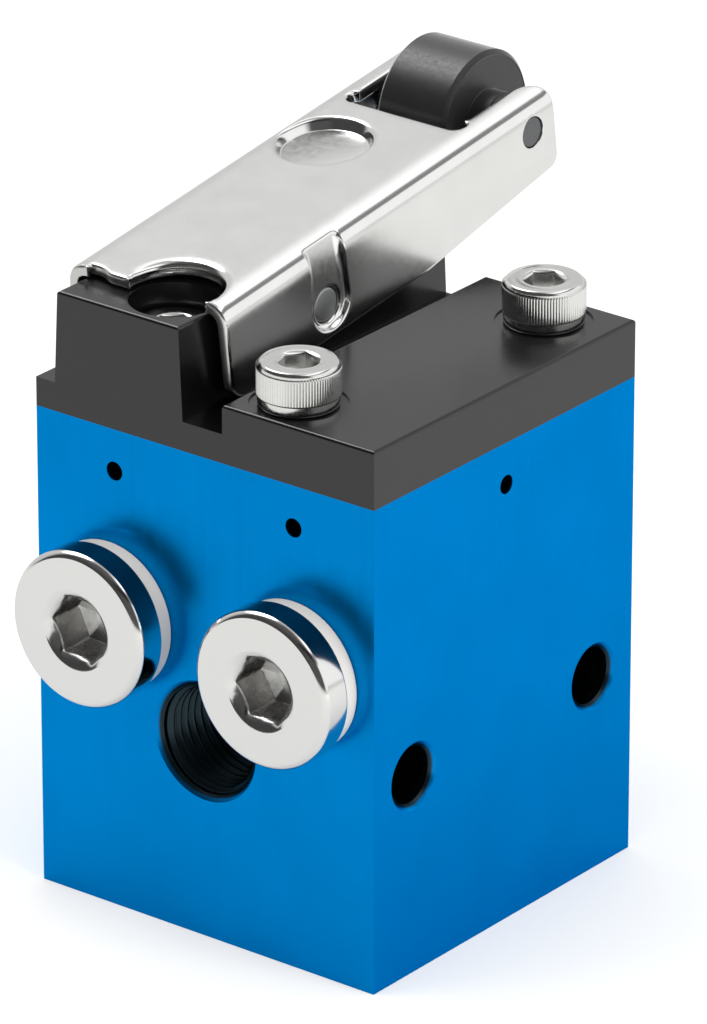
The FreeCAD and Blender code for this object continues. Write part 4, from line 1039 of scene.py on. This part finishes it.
class ROLLERVALVE_OT_inner(bpy.types.Operator):
    """Finishes of the pieces that work inside the block, and their springs as joined wire pieces"""

    bl_idname = "roller_valve.inner"
    bl_label = "Inner pieces"

    def execute(self, context):
        # Ground steel is smooth, drawn wire and turned metal keep fine tool marks, and rubber is dull.
        finishes = {
            "pin_steel": metal("ground_inner_steel", linear("9A9B9E"), 0.2, 0.32),
            "spring_steel": metal("drawn_spring_wire", linear("8E9095"), 0.25, 0.4, feature=0.15 * MM),
            "brass": metal("turned_brass", linear("C9A458"), 0.22, 0.38),
            "plain_aluminium": metal("turned_aluminium", linear("C9CACC"), 0.3, 0.45),
            "nitrile": plastic("nitrile_rubber", linear("1C1C1D"), 0.5, 0.7, refraction=1.52),
        }
        slots = {row["node"]: row["material_slot"] for row in frame["record"]["subparts"]}
        for joint in frame["record"]["behaviour"]["joints"]:
            for row in joint.get("deforming_nodes", []):
                node = row["node"]
                if node.endswith("spring"):
                    wire = add_piece(node + "_wire", merged_copy(node, 0.01), "valve",
                                     finishes[slots[node]], [node])
                    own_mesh(wire)
        for name, node in frame["nodes"].items():
            if not node.hide_render:
                for place in node.material_slots:
                    place.material = finishes[slots[name]]
        return {"FINISHED"}


class ROLLERVALVE_OT_stage(bpy.types.Operator):
    """Pale floor, studio walls, lamps and the camera"""

    bl_idname = "roller_valve.stage"
    bl_label = "Stage"

    def execute(self, context):
        look = settings().stage
        self.make_floor(look)
        self.make_walls(look)
        self.make_lamps(look)
        self.make_camera(look)
        context.scene.view_settings.view_transform = "Standard"
        return {"FINISHED"}

    def make_floor(self, look):
        """White floor, far larger than the valve. Where the camera sees it, it glows a little, so that it
        stays white round the shadow."""
        reach = 6.0
        points = np.array([(-reach, -reach, 0), (reach, -reach, 0), (reach, reach, 0), (-reach, reach, 0)])
        mesh = save_mesh("floor", points - (0, 0, 0.02 * MM), [np.array([[0, 1, 2, 3]])])
        floor = add_object("floor", mesh)
        material = bpy.data.materials.new("studio_floor")
        add = start_nodes(material)
        glow = product(add, add("LightPath", out="Is Camera Ray"), 0.22)
        both = add("AddShader", add("BsdfDiffuse", Color=look.floor), add("Emission", Strength=glow))
        add("OutputMaterial", Surface=both, out=None)
        mesh.materials.append(material)

    def make_walls(self, look):
        """World: a white studio. Mirrors also see a ceiling that is brighter round its open middle, a
        brighter right-hand wall, a lamp box above, the dark end of the studio in front, and the dark gap
        between two wall panels on the right, which draws the line along the lever's bends."""
        world = bpy.data.worlds.new("studio")
        bpy.context.scene.world = world
        add = start_nodes(world)
        place = add("TexCoord", out="Generated")
        x, y, z = add("SeparateXYZ", place, out=None)
        box = add("VectorMath", place, (-0.56, 0.0, 0.83), operation="DOT_PRODUCT", out="Value")
        bright = product(add, add("MapRange", z, 0.56, 0.8, look.wall, look.ceiling),
                         add("MapRange", z, 0.88, 0.95, 1.0, 0.4))
        for value, start, end, glow in ((x, 0.15, 0.4, look.panel), (box, 0.93, 0.975, look.box)):
            bright = add("Math", bright, add("MapRange", value, start, end, 0.0, glow), operation="ADD")
        level = add("Math", add("Math", z, 0.645, operation="SUBTRACT"), operation="ABSOLUTE")
        gap = product(add, add("MapRange", level, 0.075, 0.13, 0.8, 0.0), add("MapRange", x, 0.1, 0.3))
        mirrored = product(add, bright, add("Math", 1.0, gap, operation="SUBTRACT"),
                           add("MapRange", y, -0.15, -0.38, 1.0, 0.08))
        glossy = add("LightPath", out="Is Glossy Ray")
        seen = add("Mix", glossy, _2=0.95, _3=mirrored, data_type="FLOAT")
        back = add("Background", (1.0, 1.0, 1.0, 1.0), product(add, seen, look.sky))
        add("OutputWorld", Surface=back, out=None)

    def make_lamps(self, look):
        """One large soft lamp above on the left and a weaker one on the right."""
        aim = node_middle("valve_body")
        lamps = (
            ("key", (-0.25, -0.2, 0.45), 0.3, look.key * 0.65),
            ("fill", (0.42, -0.02, 0.24), 0.25, look.key * 1.03),
        )
        for name, place, width, power in lamps:
            light = bpy.data.lights.new(name, "AREA")
            light.shape = "SQUARE"
            light.size = width
            light.energy = power
            lamp = add_object(name, light)
            lamp.location = place
            lamp.visible_glossy = False
            lamp.rotation_euler = Vector(aim - np.array(place)).to_track_quat("-Z", "Y").to_euler()

    def make_camera(self, look):
        """Camera at the photograph's viewpoint: right of the front, above, with a long lens."""
        data = bpy.data.cameras.new("camera")
        data.lens = look.focal
        data.sensor_width = 36
        data.clip_start, data.clip_end = 0.01, 20.0
        camera = add_object("camera", data)
        camera.location = (0.411887, -0.524768, 0.325733)
        forward = Vector((-0.563655, 0.721181, -0.402729))
        camera.rotation_euler = forward.to_track_quat("-Z", "Y").to_euler()
        bpy.context.scene.camera = camera


GROUPS = (
    ("block", BlockSettings), ("housing", HousingSettings), ("lever", LeverSettings),
    ("roller", RollerSettings), ("screws", ScrewSettings), ("plugs", PlugSettings), ("stage", StageSettings),
)


class RollerValveSettings(bpy.types.PropertyGroup):
    block: PointerProperty(type=BlockSettings, name="Block", description="The blue block")
    housing: PointerProperty(type=HousingSettings, name="Housing", description="The black housing")
    lever: PointerProperty(type=LeverSettings, name="Lever", description="The stamped lever")
    roller: PointerProperty(type=RollerSettings, name="Roller", description="The roller and the pins")
    screws: PointerProperty(type=ScrewSettings, name="Screws", description="The cap screws")
    plugs: PointerProperty(type=PlugSettings, name="Plugs", description="The blanking plugs and seals")
    stage: PointerProperty(type=StageSettings, name="Stage", description="Floor, lamps and camera")


OPERATORS = (
    ROLLERVALVE_OT_block, ROLLERVALVE_OT_housing, ROLLERVALVE_OT_lever, ROLLERVALVE_OT_roller,
    ROLLERVALVE_OT_screws, ROLLERVALVE_OT_plugs, ROLLERVALVE_OT_inner, ROLLERVALVE_OT_stage,
)


class ROLLERVALVE_PT_panel(bpy.types.Panel):
    """Sidebar panel that lists the valve's pieces"""

    bl_idname = "ROLLERVALVE_PT_panel"
    bl_label = "Roller valve"
    bl_space_type = "VIEW_3D"
    bl_region_type = "UI"
    bl_category = "Roller Valve"

    def draw(self, context):
        for operator in OPERATORS:
            self.layout.operator(operator.bl_idname)
        for name, _ in GROUPS:
            box = self.layout.box()
            group = getattr(settings(), name)
            box.label(text=name.capitalize())
            for field in group.bl_rna.properties.keys():
                if field not in ("rna_type", "name"):
                    box.prop(group, field)


CLASSES = tuple(group for _, group in GROUPS) + (RollerValveSettings,) + OPERATORS + (ROLLERVALVE_PT_panel,)


def register():
    for item in CLASSES:
        bpy.utils.register_class(item)
    bpy.types.Scene.roller_valve = PointerProperty(type=RollerValveSettings)


def unregister():
    del bpy.types.Scene.roller_valve
    for item in reversed(CLASSES):
        bpy.utils.unregister_class(item)


def main():
    """Makes every piece and the stage."""
    register()
    for operator in OPERATORS:
        group, name = operator.bl_idname.split(".")
        getattr(getattr(bpy.ops, group), name)()


if __name__ == "__main__":
    main()
